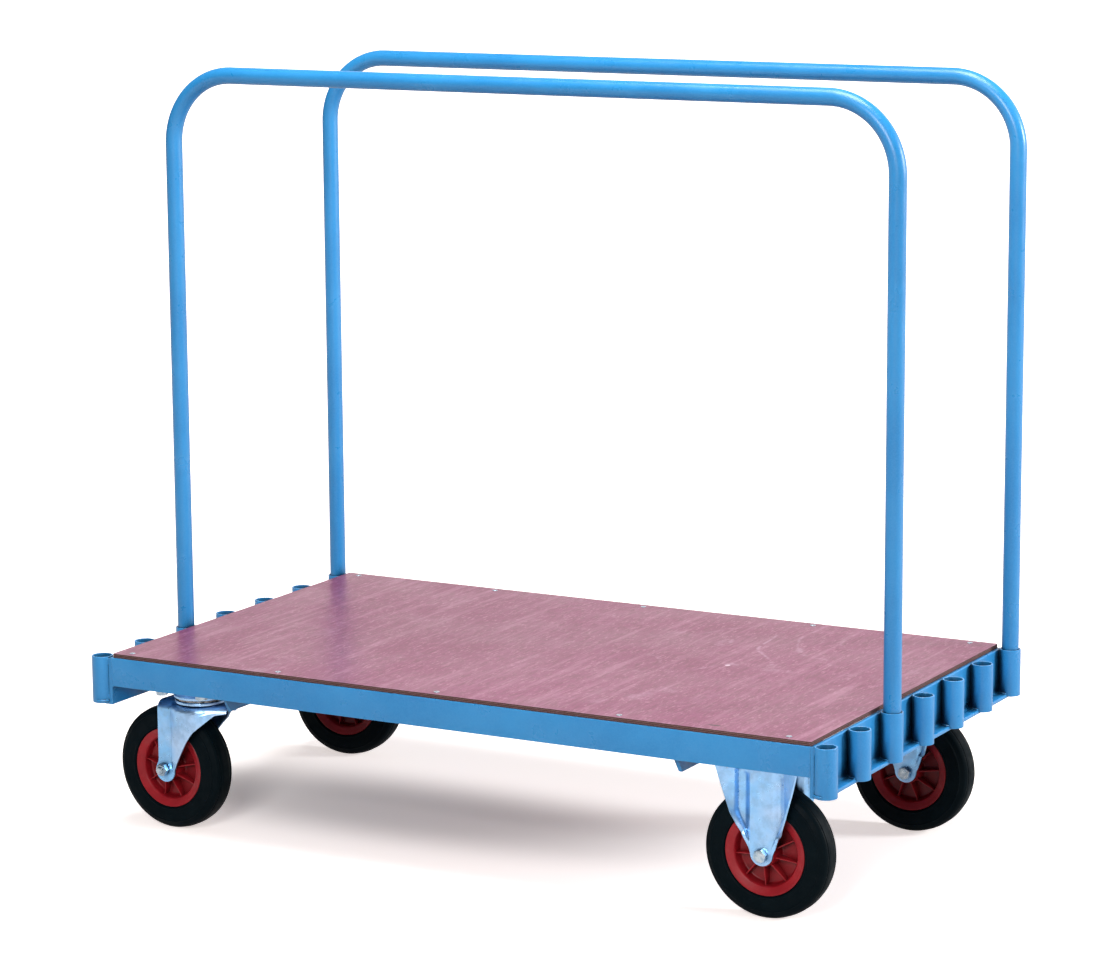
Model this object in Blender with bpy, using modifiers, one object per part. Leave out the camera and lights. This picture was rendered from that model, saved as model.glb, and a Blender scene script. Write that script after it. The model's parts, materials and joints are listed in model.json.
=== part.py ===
"""Platform trolley with two lift-out tube hoops, two swivel casters and two fixed casters.

Lengths are in metres and angles in degrees. +Z is up and the origin is on the floor under the middle of
the deck. The fixed casters are at the +X end, the swivel casters at the -X end, and -Y is the front.
"""

import math

import bmesh
import bpy

GAP = 0.0003  # air between pieces that touch

# Deck board
DECK_LENGTH = 1.208
DECK_WIDTH = 0.700
DECK_THICKNESS = 0.0065
DECK_TOP = 0.295
DECK_EDGE = 0.0006
DECK_CORNER_R = 0.002

# Welded frame, of rolled angle
FRAME_TOP = DECK_TOP - DECK_THICKNESS
RAIL_SIZE = 0.045
RAIL_WALL = 0.005
RAIL_OUTER_Y = 0.3535
RAIL_INNER_Y = RAIL_OUTER_Y - RAIL_WALL
END_HEIGHT = 0.075
END_WALL = 0.006
END_OUTER_X = 0.6105
END_INNER_X = END_OUTER_X - END_WALL
END_FLANGE_X = 0.629
FRAME_BOTTOM = FRAME_TOP - END_HEIGHT
CROSS_OUTER_X = {"fixed": 0.378, "swivel": -0.412}  # the +X face of each cross member's upright leg
CROSS_WALL = 0.006
CROSS_LEG = 0.040
CROSS_FOOT_Y = 0.307  # half length of its lower edge
CROSS_SHOULDER_Z = 0.270  # where its sloping end meets the side rail

# Sockets for the hoops
SOCKET_COUNT = 7
SOCKET_PITCH = 0.1157
SOCKET_X = 0.6267
SOCKET_OUTER_R = 0.01685
SOCKET_INNER_R = 0.01425
SOCKET_TOP = 0.290
SOCKET_BOTTOM = FRAME_BOTTOM + 0.002

# Hoops, of steel tube
HOOP_TUBE_R = 0.01345
HOOP_WALL = 0.002
HOOP_BEND_R = 0.110
HOOP_BEND_STEPS = 6
HOOP_TOP = 1.188  # height of the top bar's centre line
HOOP_SOCKETS = {"hoop_front": 3, "hoop_back": 7}  # counted from the front

# Casters
CASTER_X = 0.500
CASTER_Y = 0.262
CASTER_HEIGHT = 0.242
CASTER_PLATE = 0.005
PLATE_LENGTH = 0.140
PLATE_WIDTH = 0.110
PLATE_CORNER_R = 0.010
BOLT_LONG = 0.105
BOLT_SHORT = 0.075
BOLT_HOLE_R = 0.0055
SHEET = 0.003
SWIVEL_TRAIL = 0.052
SWIVEL_REST = {"front": -3.4, "back": 3.0}  # how far each fork is turned at rest
PLATE_BOTTOM = CASTER_HEIGHT - CASTER_PLATE

# Wheels. Each outline is half of a ring's section, as (radius, distance from the wheel's middle plane).
WHEEL_R = 0.100
TYRE_INNER_R = 0.0645
TYRE_OUTLINE = (
    (TYRE_INNER_R, 0.0205), (0.0665, 0.0235), (0.0870, 0.0230), (0.0965, 0.0170), (WHEEL_R, 0.0050),
)
HUB_HALF_LENGTH = 0.0280
HUB_BORE_R = 0.0103
RIM_R = TYRE_INNER_R - GAP
RIM_OUTLINE = (
    (HUB_BORE_R, HUB_HALF_LENGTH), (0.0200, HUB_HALF_LENGTH), (0.0220, 0.0040),
    (0.0480, 0.0040), (0.0515, 0.0178), (RIM_R, 0.0215),
)

# Axles
AXLE_R = 0.006
AXLE_HOLE_R = AXLE_R + GAP
AXLE_ACROSS_FLATS = 0.018
AXLE_HEAD = 0.0075
AXLE_NUT = 0.010
AXLE_THREAD = 0.004  # how far the bolt stands out of its nut
AXLE_HEAD_SIDE = {"fixed": -1, "swivel": 1}  # along Y
CHEEK_OUTER = 0.0315  # from the wheel's middle plane to a cheek's outer face, beside the axle

# Cheeks, measured from the axle
CHEEK_TOP_OVERLAP = 0.002  # how far a cheek runs into the plate it is welded to
ROUND_END_STEPS = (-1.0, -0.75, -0.3)  # heights on a cheek's round lower end, as parts of its radius
NARROWEST = 0.003  # half width of the first row of a round end
BRACKET_END_R = 0.018
BRACKET_WIDTHS = (  # (height, half width)
    (0.002, BRACKET_END_R), (0.025, 0.0278), (0.059, 0.0414), (0.101, 0.0555), (0.132, 0.0645),
)
BRACKET_ROWS = (0.002, 0.025, 0.042, 0.059, 0.080, 0.101)
BRACKET_PANEL = 0.0185  # half width of the upright middle panel
BRACKET_PANEL_SHARE = 0.62  # and at most this share of the cheek's half width
BRACKET_CREASE = 0.0265  # half width out to where the wings begin
BRACKET_CREASE_SHARE = 0.86
BRACKET_LEAN = 0.0225  # how far its wings lean out, over BRACKET_LEAN_HEIGHT
BRACKET_LEAN_FROM = 0.012
BRACKET_LEAN_HEIGHT = 0.095
FORK_END_CENTRE = (0.002, -0.002)
FORK_END_R = 0.0185
FORK_END_COLUMNS = (-1, -0.35, 0.35, 0.7, 1)  # across the round lower end, as parts of its half width
FORK_EDGE = ((0.0205, 0.0), (0.073, 0.089), (0.114, 0.1115))  # the curve of the leading edge
FORK_ROWS = (0.004, 0.014, 0.035, 0.062, 0.086)
FORK_STRIP = (-0.011, 0.017)
FORK_STRIP_SHARE = 0.7  # the strip's and the crease's place when the cheek is narrow, as parts of its width
FORK_CREASE = 0.026
FORK_CREASE_SHARE = 0.85
FORK_BULGE_SHARE = 0.6  # how far across the gusset its outermost line runs
FORK_LEAN = 0.0105  # how far its gusset leans out, over FORK_LEAN_HEIGHT
FORK_LEAN_HEIGHT = 0.100
FORK_TIP_FROM = 0.060  # where the leading edge begins to draw in towards the nose
FORK_TIP_LENGTH = 0.052  # over what length it does so
FORK_TIP_DRAW = 0.028  # and how far

# Swivel head, with heights above the floor
CROWN_TOP = 0.2115
CROWN_THICKNESS = 0.0035
CROWN_BOTTOM = CROWN_TOP - CROWN_THICKNESS
CROWN_HALF = (  # half of the crown's outline, as (ahead of the swivel axis, half width)
    (-SWIVEL_TRAIL - 0.0105, CHEEK_OUTER - 0.0006), (-0.038, CHEEK_OUTER - 0.0006), (-0.026, 0.0412),
    (0.0255, 0.0412), (0.0595, 0.0140),
)
RACE_OUTER_R = 0.0415
RACE_INNER_R = 0.0285
LOWER_RACE_TOP = 0.2165
UPPER_RACE_BOTTOM = 0.2205
DISH_RIM_TOP = 0.2235
DISH_NECK = (0.0350, 0.2300)  # (radius, height) of the waist of the pressed upper race
BALL_RACE = (0.0300, 0.0392)
KINGPIN_NUT_R = 0.0105
KINGPIN_NUT = 0.008

# Mounting pads, welded under the side rails
PAD_THICKNESS = 0.005
PAD_INNER_Y = 0.185
PAD_BOTTOM = CASTER_HEIGHT + GAP

# Caster bolts
HEAD_ACROSS_FLATS = 0.017
HEAD_HEIGHT = 0.0064
WASHER_R = 0.0094
WASHER_THICKNESS = 0.0018
BOLT_R = 0.005
WELD_NUT = 0.008
BOLT_END = PAD_BOTTOM + PAD_THICKNESS + WELD_NUT + 0.001

# Sides of round shapes
WHEEL_SIDES = 24
TUBE_SIDES = 16
SMALL_SIDES = 12
BOLT_SIDES = 8
HEXAGON_SIDES = 6
SINK = 0.0004  # how far shapes run into each other where they are joined
SHARP_ANGLE = 35


# ---------------------------------------------------------------------------------------------------
# Scene helpers


def clear_scene():
    for obj in list(bpy.data.objects):
        bpy.data.objects.remove(obj)


def new_collection(name):
    collection = bpy.data.collections.new(name)
    bpy.context.scene.collection.children.link(collection)
    return collection


def new_material(name, colour, roughness, metallic=0.0):
    material = bpy.data.materials.new(name)
    material.use_nodes = True
    shader = material.node_tree.nodes["Principled BSDF"]
    shader.inputs["Base Color"].default_value = (*colour, 1.0)
    shader.inputs["Roughness"].default_value = roughness
    shader.inputs["Metallic"].default_value = metallic
    material.diffuse_color = (*colour, 1.0)
    return material


clear_scene()
TROLLEY = new_collection("platform_trolley")
CUTTERS = new_collection("cutters_and_joined_shapes")
BLUE_PAINT = new_material("blue_paint", (0.06, 0.28, 0.62), 0.45)
DECK_FILM = new_material("deck_film", (0.38, 0.17, 0.24), 0.55)
ZINC = new_material("zinc_plate", (0.62, 0.68, 0.76), 0.35, 1.0)
RUBBER = new_material("black_rubber", (0.012, 0.016, 0.018), 0.7)
RED_PLASTIC = new_material("red_plastic", (0.42, 0.02, 0.03), 0.4)
BEARING_STEEL = new_material("bearing_steel", (0.5, 0.5, 0.5), 0.25, 1.0)


def add_object(name, data, material, parent=None, location=(0, 0, 0), rotation=(0, 0, 0), helper=False):
    """Adds a named object. Rotation is in degrees. A helper is a shape that a Boolean uses."""
    obj = bpy.data.objects.new(name, data)
    (CUTTERS if helper else TROLLEY).objects.link(obj)
    if data is not None:
        data.materials.append(material)
    obj.parent = parent
    obj.location = location
    obj.rotation_euler = [math.radians(angle) for angle in rotation]
    if helper:
        obj.hide_render = True
        obj.display_type = "WIRE"
    return obj


def add_empty(name, parent=None, location=(0, 0, 0), turn=0.0):
    return add_object(name, None, None, parent, location, (0, 0, turn))


# ---------------------------------------------------------------------------------------------------
# Outlines, as lists of 2D points


def arc(centre, radius, start, end, steps):
    """Points on an arc from angle start to angle end."""
    angles = [math.radians(start + (end - start) * i / steps) for i in range(steps + 1)]
    return [(centre[0] + radius * math.cos(a), centre[1] + radius * math.sin(a)) for a in angles]


def circle(centre, radius, sides=SMALL_SIDES):
    return arc(centre, radius, 0, 360, sides)[:-1]


def hexagon(across_flats):
    return circle((0, 0), across_flats / math.sqrt(3), HEXAGON_SIDES)


def rectangle(left, right, bottom, top):
    return [(left, bottom), (right, bottom), (right, top), (left, top)]


def rounded_rectangle(length, width, radius, steps=3):
    x, y = length / 2 - radius, width / 2 - radius
    corners = ((x, y), (-x, y), (-x, -y), (x, -y))
    outline = []
    for quarter, centre in enumerate(corners):
        outline += arc(centre, radius, 90 * quarter, 90 * quarter + 90, steps)
    return outline


def smooth_step(value):
    value = min(max(value, 0.0), 1.0)
    return value * value * (3 - 2 * value)


# ---------------------------------------------------------------------------------------------------
# Shapes


def sheet(name, outlines, thickness, material, **placing):
    """A flat plate in local XY: the first outline is its edge and the others are its holes."""
    curve = bpy.data.curves.new(name, "CURVE")
    curve.dimensions = "2D"
    curve.fill_mode = "BOTH"
    curve.extrude = thickness / 2
    for points in outlines:
        spline = curve.splines.new("POLY")
        spline.points.add(len(points) - 1)
        for point, (x, y) in zip(spline.points, points):
            point.co = (x, y, 0, 1)
        spline.use_cyclic_u = True
    return add_object(name, curve, material, **placing)


def as_mesh(curve_object):
    """Replaces a curve object with the closed mesh it draws, so that a Boolean can use it."""
    name = curve_object.name
    graph = bpy.context.evaluated_depsgraph_get()
    mesh = bpy.data.meshes.new_from_object(curve_object.evaluated_get(graph))
    shape = bmesh.new()
    shape.from_mesh(mesh)
    bmesh.ops.remove_doubles(shape, verts=shape.verts, dist=1e-6)
    shape.to_mesh(mesh)
    shape.free()
    solid = bpy.data.objects.new(name, mesh)
    for collection in curve_object.users_collection:
        collection.objects.link(solid)
    solid.parent = curve_object.parent
    solid.location = curve_object.location
    solid.rotation_euler = curve_object.rotation_euler
    solid.hide_render = curve_object.hide_render
    solid.display_type = curve_object.display_type
    bpy.data.objects.remove(curve_object)
    solid.name = name
    return solid


def cylinder(name, radius, bottom, top, sides, material, **placing):
    """A solid cylinder or prism from height bottom to height top on local Z."""
    shape = bmesh.new()
    bmesh.ops.create_cone(
        shape, cap_ends=True, segments=sides, radius1=radius, radius2=radius, depth=top - bottom
    )
    bmesh.ops.translate(shape, verts=shape.verts, vec=(0, 0, (top + bottom) / 2))
    mesh = bpy.data.meshes.new(name)
    shape.to_mesh(mesh)
    shape.free()
    return add_object(name, mesh, material, **placing)


def hexagonal_prism(name, across_flats, bottom, top, material, **placing):
    return cylinder(name, across_flats / math.sqrt(3), bottom, top, HEXAGON_SIDES, material, **placing)


def turned(name, profile, sides, material, **placing):
    """A ring turned round local Z from a closed profile of (radius, height), down its outer side first."""
    mesh = bpy.data.meshes.new(name)
    count = len(profile)
    edges = [(i, (i + 1) % count) for i in range(count)]
    mesh.from_pydata([(radius, 0, height) for radius, height in profile], edges, [])
    obj = add_object(name, mesh, material, **placing)
    screw = obj.modifiers.new("turn", "SCREW")
    screw.steps = screw.render_steps = sides
    screw.use_merge_vertices = True
    screw.merge_threshold = 1e-6
    return obj


def ring(name, inner, outer, bottom, top, sides, material, **placing):
    profile = [(outer, top), (outer, bottom), (inner, bottom), (inner, top)]
    return turned(name, profile, sides, material, **placing)


def boolean(obj, operation, *others):
    for other in others:
        modifier = obj.modifiers.new(f"{operation.lower()} {other.name}", "BOOLEAN")
        modifier.operation = operation
        modifier.object = other
    return obj


def pressed_cheek(name, rows, side, material, **placing):
    """Pressed sheet through rows of outer-face points, thickened inwards. Side is +1 or -1 along Y."""
    shape = bmesh.new()
    grid = [[shape.verts.new((x, side * y, z)) for x, y, z in row] for row in rows]
    for lower, upper in zip(grid, grid[1:]):
        for i in range(len(lower) - 1):
            corners = [lower[i], lower[i + 1], upper[i + 1], upper[i]]
            shape.faces.new(corners if side < 0 else corners[::-1])
    mesh = bpy.data.meshes.new(name)
    shape.to_mesh(mesh)
    shape.free()
    obj = add_object(name, mesh, material, **placing)
    thicken = obj.modifiers.new("sheet", "SOLIDIFY")
    thicken.thickness = SHEET
    thicken.offset = -1
    thicken.use_even_offset = True
    return obj


# ---------------------------------------------------------------------------------------------------
# Deck and frame

ALONG_X = (90, 0, 90)  # turns a sheet's outline into the YZ plane and its thickness along X
ALONG_Y = (90, 0, 0)  # turns a sheet's outline into the XZ plane and its thickness along Y


def build_deck():
    bottom = FRAME_TOP + GAP
    outline = rounded_rectangle(DECK_LENGTH, DECK_WIDTH, DECK_CORNER_R)
    place = (0, 0, (DECK_TOP + bottom) / 2)
    board = as_mesh(sheet("deck_board", [outline], DECK_TOP - bottom, DECK_FILM, location=place))
    bevel = board.modifiers.new("edge", "BEVEL")
    bevel.width = DECK_EDGE
    bevel.limit_method = "ANGLE"
    bevel.angle_limit = math.radians(60)


def build_side_rail(name, side):
    """Angle with one leg up the outside and the other on top, pointing inwards under the deck."""
    outer, inner, lip = (side * y for y in (RAIL_OUTER_Y, RAIL_INNER_Y, RAIL_OUTER_Y - RAIL_SIZE))
    bottom, underside = FRAME_TOP - RAIL_SIZE, FRAME_TOP - RAIL_WALL
    outline = [(outer, bottom), (outer, FRAME_TOP), (lip, FRAME_TOP)]
    outline += [(lip, underside), (inner, underside), (inner, bottom)]
    sheet(name, [outline], 2 * (END_INNER_X - GAP), BLUE_PAINT, rotation=ALONG_X)


def socket_y(number):
    """The place of a socket, counted from 1 at the front."""
    return (number - (SOCKET_COUNT + 1) / 2) * SOCKET_PITCH


def build_end_rail(name, end):
    """Angle with its flange at the bottom, pointing outwards, and a row of sockets welded to it."""
    inner, outer, edge = (end * x for x in (END_INNER_X, END_OUTER_X, END_FLANGE_X))
    shelf = FRAME_BOTTOM + END_WALL
    outline = [(inner, FRAME_BOTTOM), (inner, FRAME_TOP), (outer, FRAME_TOP)]
    outline += [(outer, shelf), (edge, shelf), (edge, FRAME_BOTTOM)]
    rail = as_mesh(sheet(name, [outline], 2 * RAIL_OUTER_Y, BLUE_PAINT, rotation=ALONG_Y))
    for number in range(1, SOCKET_COUNT + 1):
        tube = ring(
            f"{name}_socket_{number}", SOCKET_INNER_R, SOCKET_OUTER_R, SOCKET_BOTTOM, SOCKET_TOP,
            TUBE_SIDES, BLUE_PAINT, location=(end * SOCKET_X, socket_y(number), 0), helper=True,
        )
        boolean(rail, "UNION", tube)


def build_cross_member(name, outer_x, leg_side):
    """Angle across the frame: an upright leg with sloping ends, and a top leg towards leg_side."""
    top = FRAME_TOP - RAIL_WALL - GAP
    half = RAIL_INNER_Y - GAP
    right = [(half, top), (half, CROSS_SHOULDER_Z), (CROSS_FOOT_Y, FRAME_BOTTOM)]
    outline = right + [(-y, z) for y, z in reversed(right)]
    middle = outer_x - CROSS_WALL / 2
    placing = {"location": (middle, 0, 0), "rotation": ALONG_X}
    upright = as_mesh(sheet(name, [outline], CROSS_WALL, BLUE_PAINT, **placing))
    near, far = sorted((middle, middle + leg_side * (CROSS_LEG - CROSS_WALL / 2)))
    leg_outline = rectangle(near, far, SINK - half, half - SINK)
    place = (0, 0, top - SINK - CROSS_WALL / 2)
    leg = as_mesh(sheet(f"{name}_leg", [leg_outline], CROSS_WALL, BLUE_PAINT, location=place, helper=True))
    boolean(upright, "UNION", leg)


def bolt_spots(long_axis):
    """The four bolts of a caster, round its middle. long_axis says where the long spacing lies."""
    x, y = (BOLT_LONG / 2, BOLT_SHORT / 2) if long_axis == "X" else (BOLT_SHORT / 2, BOLT_LONG / 2)
    return [(sign_x * x, sign_y * y) for sign_x in (-1, 1) for sign_y in (-1, 1)]


def build_pad(name, left, right, side, caster_x, long_axis):
    """Plate between the end rail and the cross member, with a weld nut over each hole."""
    near, far = sorted((side * PAD_INNER_Y, side * (RAIL_INNER_Y - GAP)))
    spots = [(caster_x + x, side * CASTER_Y + y) for x, y in bolt_spots(long_axis)]
    holes = [circle(spot, BOLT_HOLE_R, BOLT_SIDES) for spot in spots]
    place = (0, 0, PAD_BOTTOM + PAD_THICKNESS / 2)
    outlines = [rectangle(left, right, near, far), *holes]
    pad = as_mesh(sheet(name, outlines, PAD_THICKNESS, BLUE_PAINT, location=place))
    nut_outlines = [hexagon(HEAD_ACROSS_FLATS), circle((0, 0), BOLT_HOLE_R - SINK / 2, BOLT_SIDES)]
    nut_middle = PAD_BOTTOM + PAD_THICKNESS - SINK + WELD_NUT / 2
    for number, (x, y) in enumerate(spots, 1):
        nut = sheet(
            f"{name}_weld_nut_{number}", nut_outlines, WELD_NUT, BLUE_PAINT,
            location=(x, y, nut_middle), helper=True,
        )
        boolean(pad, "UNION", as_mesh(nut))


def build_frame():
    build_deck()
    build_side_rail("side_rail_front", -1)
    build_side_rail("side_rail_back", 1)
    build_end_rail("end_rail_fixed", 1)
    build_end_rail("end_rail_swivel", -1)
    build_cross_member("cross_member_fixed", CROSS_OUTER_X["fixed"], -1)
    build_cross_member("cross_member_swivel", CROSS_OUTER_X["swivel"], 1)
    end = END_INNER_X - GAP
    for place, side in (("front", -1), ("back", 1)):
        build_pad(f"caster_pad_fixed_{place}", CROSS_OUTER_X["fixed"] + GAP, end, side, CASTER_X, "X")
        left_of_cross = CROSS_OUTER_X["swivel"] - CROSS_WALL - GAP
        build_pad(f"caster_pad_swivel_{place}", -end, left_of_cross, side, -CASTER_X, "Y")


# ---------------------------------------------------------------------------------------------------
# Hoops


def build_hoop(name, number):
    """Tube bent into an upside-down U. Its legs stand on the end rails' flanges, inside the sockets."""
    foot = FRAME_BOTTOM + END_WALL + GAP
    bend = arc((SOCKET_X - HOOP_BEND_R, HOOP_TOP - HOOP_BEND_R), HOOP_BEND_R, 0, 90, HOOP_BEND_STEPS)
    half = [(SOCKET_X, foot), *bend]
    path = half + [(-x, z) for x, z in reversed(half)]
    curve = bpy.data.curves.new(name, "CURVE")
    curve.dimensions = "3D"
    curve.bevel_depth = HOOP_TUBE_R
    curve.bevel_resolution = 2
    spline = curve.splines.new("POLY")
    spline.points.add(len(path) - 1)
    for point, (x, z) in zip(spline.points, path):
        point.co = (x, 0, z, 1)
    hoop = add_object(name, curve, BLUE_PAINT, location=(0, socket_y(number), 0))
    wall = hoop.modifiers.new("tube_wall", "SOLIDIFY")
    wall.thickness = HOOP_WALL
    wall.offset = -1


# ---------------------------------------------------------------------------------------------------
# Wheels and axles. Each is built round local Z and laid over, so that local Z points to -Y.

LAID_OVER = (90, 0, 0)


def whole_section(half):
    """A ring's whole section from its half on one side of the middle plane."""
    return [*half, *((radius, -height) for radius, height in reversed(half))]


def build_wheel(name, holder, hub_x):
    """Tyre, rim and roller bearing on their own pivot."""
    wheel = add_empty(f"{name}_wheel_pivot", holder, (hub_x, 0, WHEEL_R))
    placing = {"parent": wheel, "rotation": LAID_OVER}
    turned(f"{name}_tyre", whole_section(TYRE_OUTLINE), WHEEL_SIDES, RUBBER, **placing)
    turned(f"{name}_wheel_rim", whole_section(RIM_OUTLINE), WHEEL_SIDES, RED_PLASTIC, **placing)
    ring(
        f"{name}_roller_bearing", AXLE_HOLE_R, HUB_BORE_R - GAP, -HUB_HALF_LENGTH, HUB_HALF_LENGTH,
        SMALL_SIDES, BEARING_STEEL, **placing,
    )


def build_axle(name, holder, hub_x, head_side):
    """A hexagon bolt through both cheeks, its head on one side and a nut on the other."""
    line = add_empty(f"{name}_axle_line", holder, (hub_x, 0, WHEEL_R))
    face = CHEEK_OUTER + GAP
    placing = {"parent": line, "rotation": (90 * head_side, 0, 0)}
    end = face + AXLE_NUT + AXLE_THREAD
    bolt = cylinder(f"{name}_axle_bolt", AXLE_R, -face - SINK, end, SMALL_SIDES, ZINC, **placing)
    head = hexagonal_prism(
        f"{name}_axle_head", AXLE_ACROSS_FLATS, -face - AXLE_HEAD, -face, ZINC, helper=True, **placing
    )
    boolean(bolt, "UNION", head)
    nut_outlines = [hexagon(AXLE_ACROSS_FLATS), circle((0, 0), AXLE_HOLE_R)]
    nut_place = (0, -head_side * (face + AXLE_NUT / 2), 0)
    sheet(
        f"{name}_axle_nut", nut_outlines, AXLE_NUT, ZINC, parent=line, location=nut_place,
        rotation=LAID_OVER,
    )


# ---------------------------------------------------------------------------------------------------
# Cheeks, as rows of outer-face points measured from the axle


def between(points, value):
    """Linear interpolation in a list of (key, result) pairs."""
    for (low, first), (high, second) in zip(points, points[1:]):
        if value <= high:
            break
    part = min(max((value - low) / (high - low), 0.0), 1.0)
    return first + part * (second - first)


def round_end(centre_z, radius):
    """(height, half width) of rows on a round lower end, from the bottom up."""
    for part in ROUND_END_STEPS:
        yield centre_z + radius * part, max(radius * math.sqrt(1 - part * part), NARROWEST)


def bracket_rows(top):
    """An upright middle panel, with a wing each side that leans out to the plate's edge."""
    sizes = list(round_end(BRACKET_WIDTHS[0][0], BRACKET_END_R))
    sizes += [(z, between(BRACKET_WIDTHS, z)) for z in (*BRACKET_ROWS, top)]
    rows = []
    for z, half in sizes:
        wing_y = CHEEK_OUTER + BRACKET_LEAN * smooth_step((z - BRACKET_LEAN_FROM) / BRACKET_LEAN_HEIGHT)
        crease = min(BRACKET_CREASE, BRACKET_CREASE_SHARE * half)
        panel = min(BRACKET_PANEL, BRACKET_PANEL_SHARE * half)
        left = [(-half, wing_y, z), (-crease, wing_y, z), (-panel, CHEEK_OUTER, z)]
        rows.append(left + [(-x, y, z) for x, y, z in reversed(left)])
    return rows


def fork_leading_edge(z):
    """How far ahead of the axle the cheek reaches at a height above it, on the curve FORK_EDGE."""
    (x0, z0), (x1, z1), (x2, z2) = FORK_EDGE
    bow = z0 - 2 * z1 + z2
    t = (z0 - z1 + math.sqrt((z1 - z0) ** 2 + bow * max(z - z0, 0.0))) / bow
    return (1 - t) ** 2 * x0 + 2 * t * (1 - t) * x1 + t * t * x2


def fork_rows(top):
    """An upright strip down to the axle, and ahead of it a gusset that leans out to the crown."""
    centre_x, centre_z = FORK_END_CENTRE
    rows = []
    for z, half in round_end(centre_z, FORK_END_R):
        rows.append([(centre_x + half * part, CHEEK_OUTER, z) for part in FORK_END_COLUMNS])
    for z in (*FORK_ROWS, top):
        back = centre_x - FORK_END_R if z < FORK_ROWS[1] else FORK_STRIP[0]
        front = fork_leading_edge(z)
        strip = min(FORK_STRIP[1], back + FORK_STRIP_SHARE * (front - back))
        crease = min(FORK_CREASE, back + FORK_CREASE_SHARE * (front - back))
        gusset_y = CHEEK_OUTER + FORK_LEAN * smooth_step(z / FORK_LEAN_HEIGHT)
        tip_y = gusset_y - FORK_TIP_DRAW * smooth_step((front - FORK_TIP_FROM) / FORK_TIP_LENGTH)
        rows.append([
            (back, CHEEK_OUTER, z), (strip, CHEEK_OUTER, z), (crease, gusset_y, z),
            (crease + FORK_BULGE_SHARE * (front - crease), gusset_y, z), (front, tip_y, z),
        ])
    return rows


def add_cheeks(body, name, rows, holder, hub_x):
    """Joins a cheek each side of the wheel to the body, and drills both for the axle."""
    hub = (hub_x, 0, WHEEL_R)
    for side, place in ((-1, "right"), (1, "left")):
        cheek = pressed_cheek(
            f"{name}_{place}_cheek", rows, side, ZINC, parent=holder, location=hub, helper=True
        )
        boolean(body, "UNION", cheek)
    reach = CHEEK_OUTER + AXLE_NUT
    drill = cylinder(
        f"{name}_axle_hole", AXLE_HOLE_R, -reach, reach, SMALL_SIDES, ZINC,
        parent=holder, location=hub, rotation=LAID_OVER, helper=True,
    )
    boolean(body, "DIFFERENCE", drill)


# ---------------------------------------------------------------------------------------------------
# Casters


def build_caster_bolts(name, holder, long_axis):
    """Hexagon bolts with a washer under each head, pushed up through the caster plate and the pad."""
    face = PLATE_BOTTOM - GAP
    under_washer = face - WASHER_THICKNESS
    for number, (x, y) in enumerate(bolt_spots(long_axis), 1):
        bolt_name = f"{name}_plate_bolt_{number}"
        placing = {"parent": holder, "location": (x, y, 0)}
        bolt = cylinder(bolt_name, BOLT_R, face - SINK, BOLT_END, BOLT_SIDES, ZINC, **placing)
        washer = cylinder(
            f"{bolt_name}_washer", WASHER_R, under_washer, face, BOLT_SIDES, ZINC, helper=True, **placing
        )
        head = hexagonal_prism(
            f"{bolt_name}_head", HEAD_ACROSS_FLATS, under_washer - HEAD_HEIGHT, under_washer + SINK, ZINC,
            helper=True, **placing,
        )
        boolean(bolt, "UNION", washer, head)


def caster_plate(name, holder, long_axis, *extra_holes):
    length, width = (PLATE_LENGTH, PLATE_WIDTH) if long_axis == "X" else (PLATE_WIDTH, PLATE_LENGTH)
    edge = rounded_rectangle(length, width, PLATE_CORNER_R)
    holes = [circle(spot, BOLT_HOLE_R, BOLT_SIDES) for spot in bolt_spots(long_axis)]
    place = (0, 0, (CASTER_HEIGHT + PLATE_BOTTOM) / 2)
    plate = sheet(name, [edge, *holes, *extra_holes], CASTER_PLATE, ZINC, parent=holder, location=place)
    return as_mesh(plate)


def build_fixed_caster(place, side):
    name = f"fixed_{place}"
    holder = add_empty(f"{name}_caster", location=(CASTER_X, side * CASTER_Y, 0))
    bracket = caster_plate(f"{name}_bracket", holder, "X")
    add_cheeks(bracket, name, bracket_rows(PLATE_BOTTOM + CHEEK_TOP_OVERLAP - WHEEL_R), holder, 0)
    build_wheel(name, holder, 0)
    build_axle(name, holder, 0, AXLE_HEAD_SIDE["fixed"])
    build_caster_bolts(name, holder, "X")


def build_fork(name, holder):
    """Crown with the lower race on it and a cheek down each side of the wheel."""
    outline = [(x, -y) for x, y in CROWN_HALF] + list(reversed(CROWN_HALF))
    kingpin_hole = circle((0, 0), AXLE_R + 2 * GAP)
    place = (0, 0, (CROWN_TOP + CROWN_BOTTOM) / 2)
    crown = sheet(
        f"{name}_fork", [outline, kingpin_hole], CROWN_THICKNESS, ZINC, parent=holder, location=place
    )
    fork = as_mesh(crown)
    race = ring(
        f"{name}_lower_race", RACE_INNER_R, RACE_OUTER_R - 2 * SINK, CROWN_TOP - SINK, LOWER_RACE_TOP,
        TUBE_SIDES, ZINC, parent=holder, helper=True,
    )
    boolean(fork, "UNION", race)
    add_cheeks(fork, name, fork_rows(CROWN_TOP - SINK - WHEEL_R), holder, -SWIVEL_TRAIL)


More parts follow.
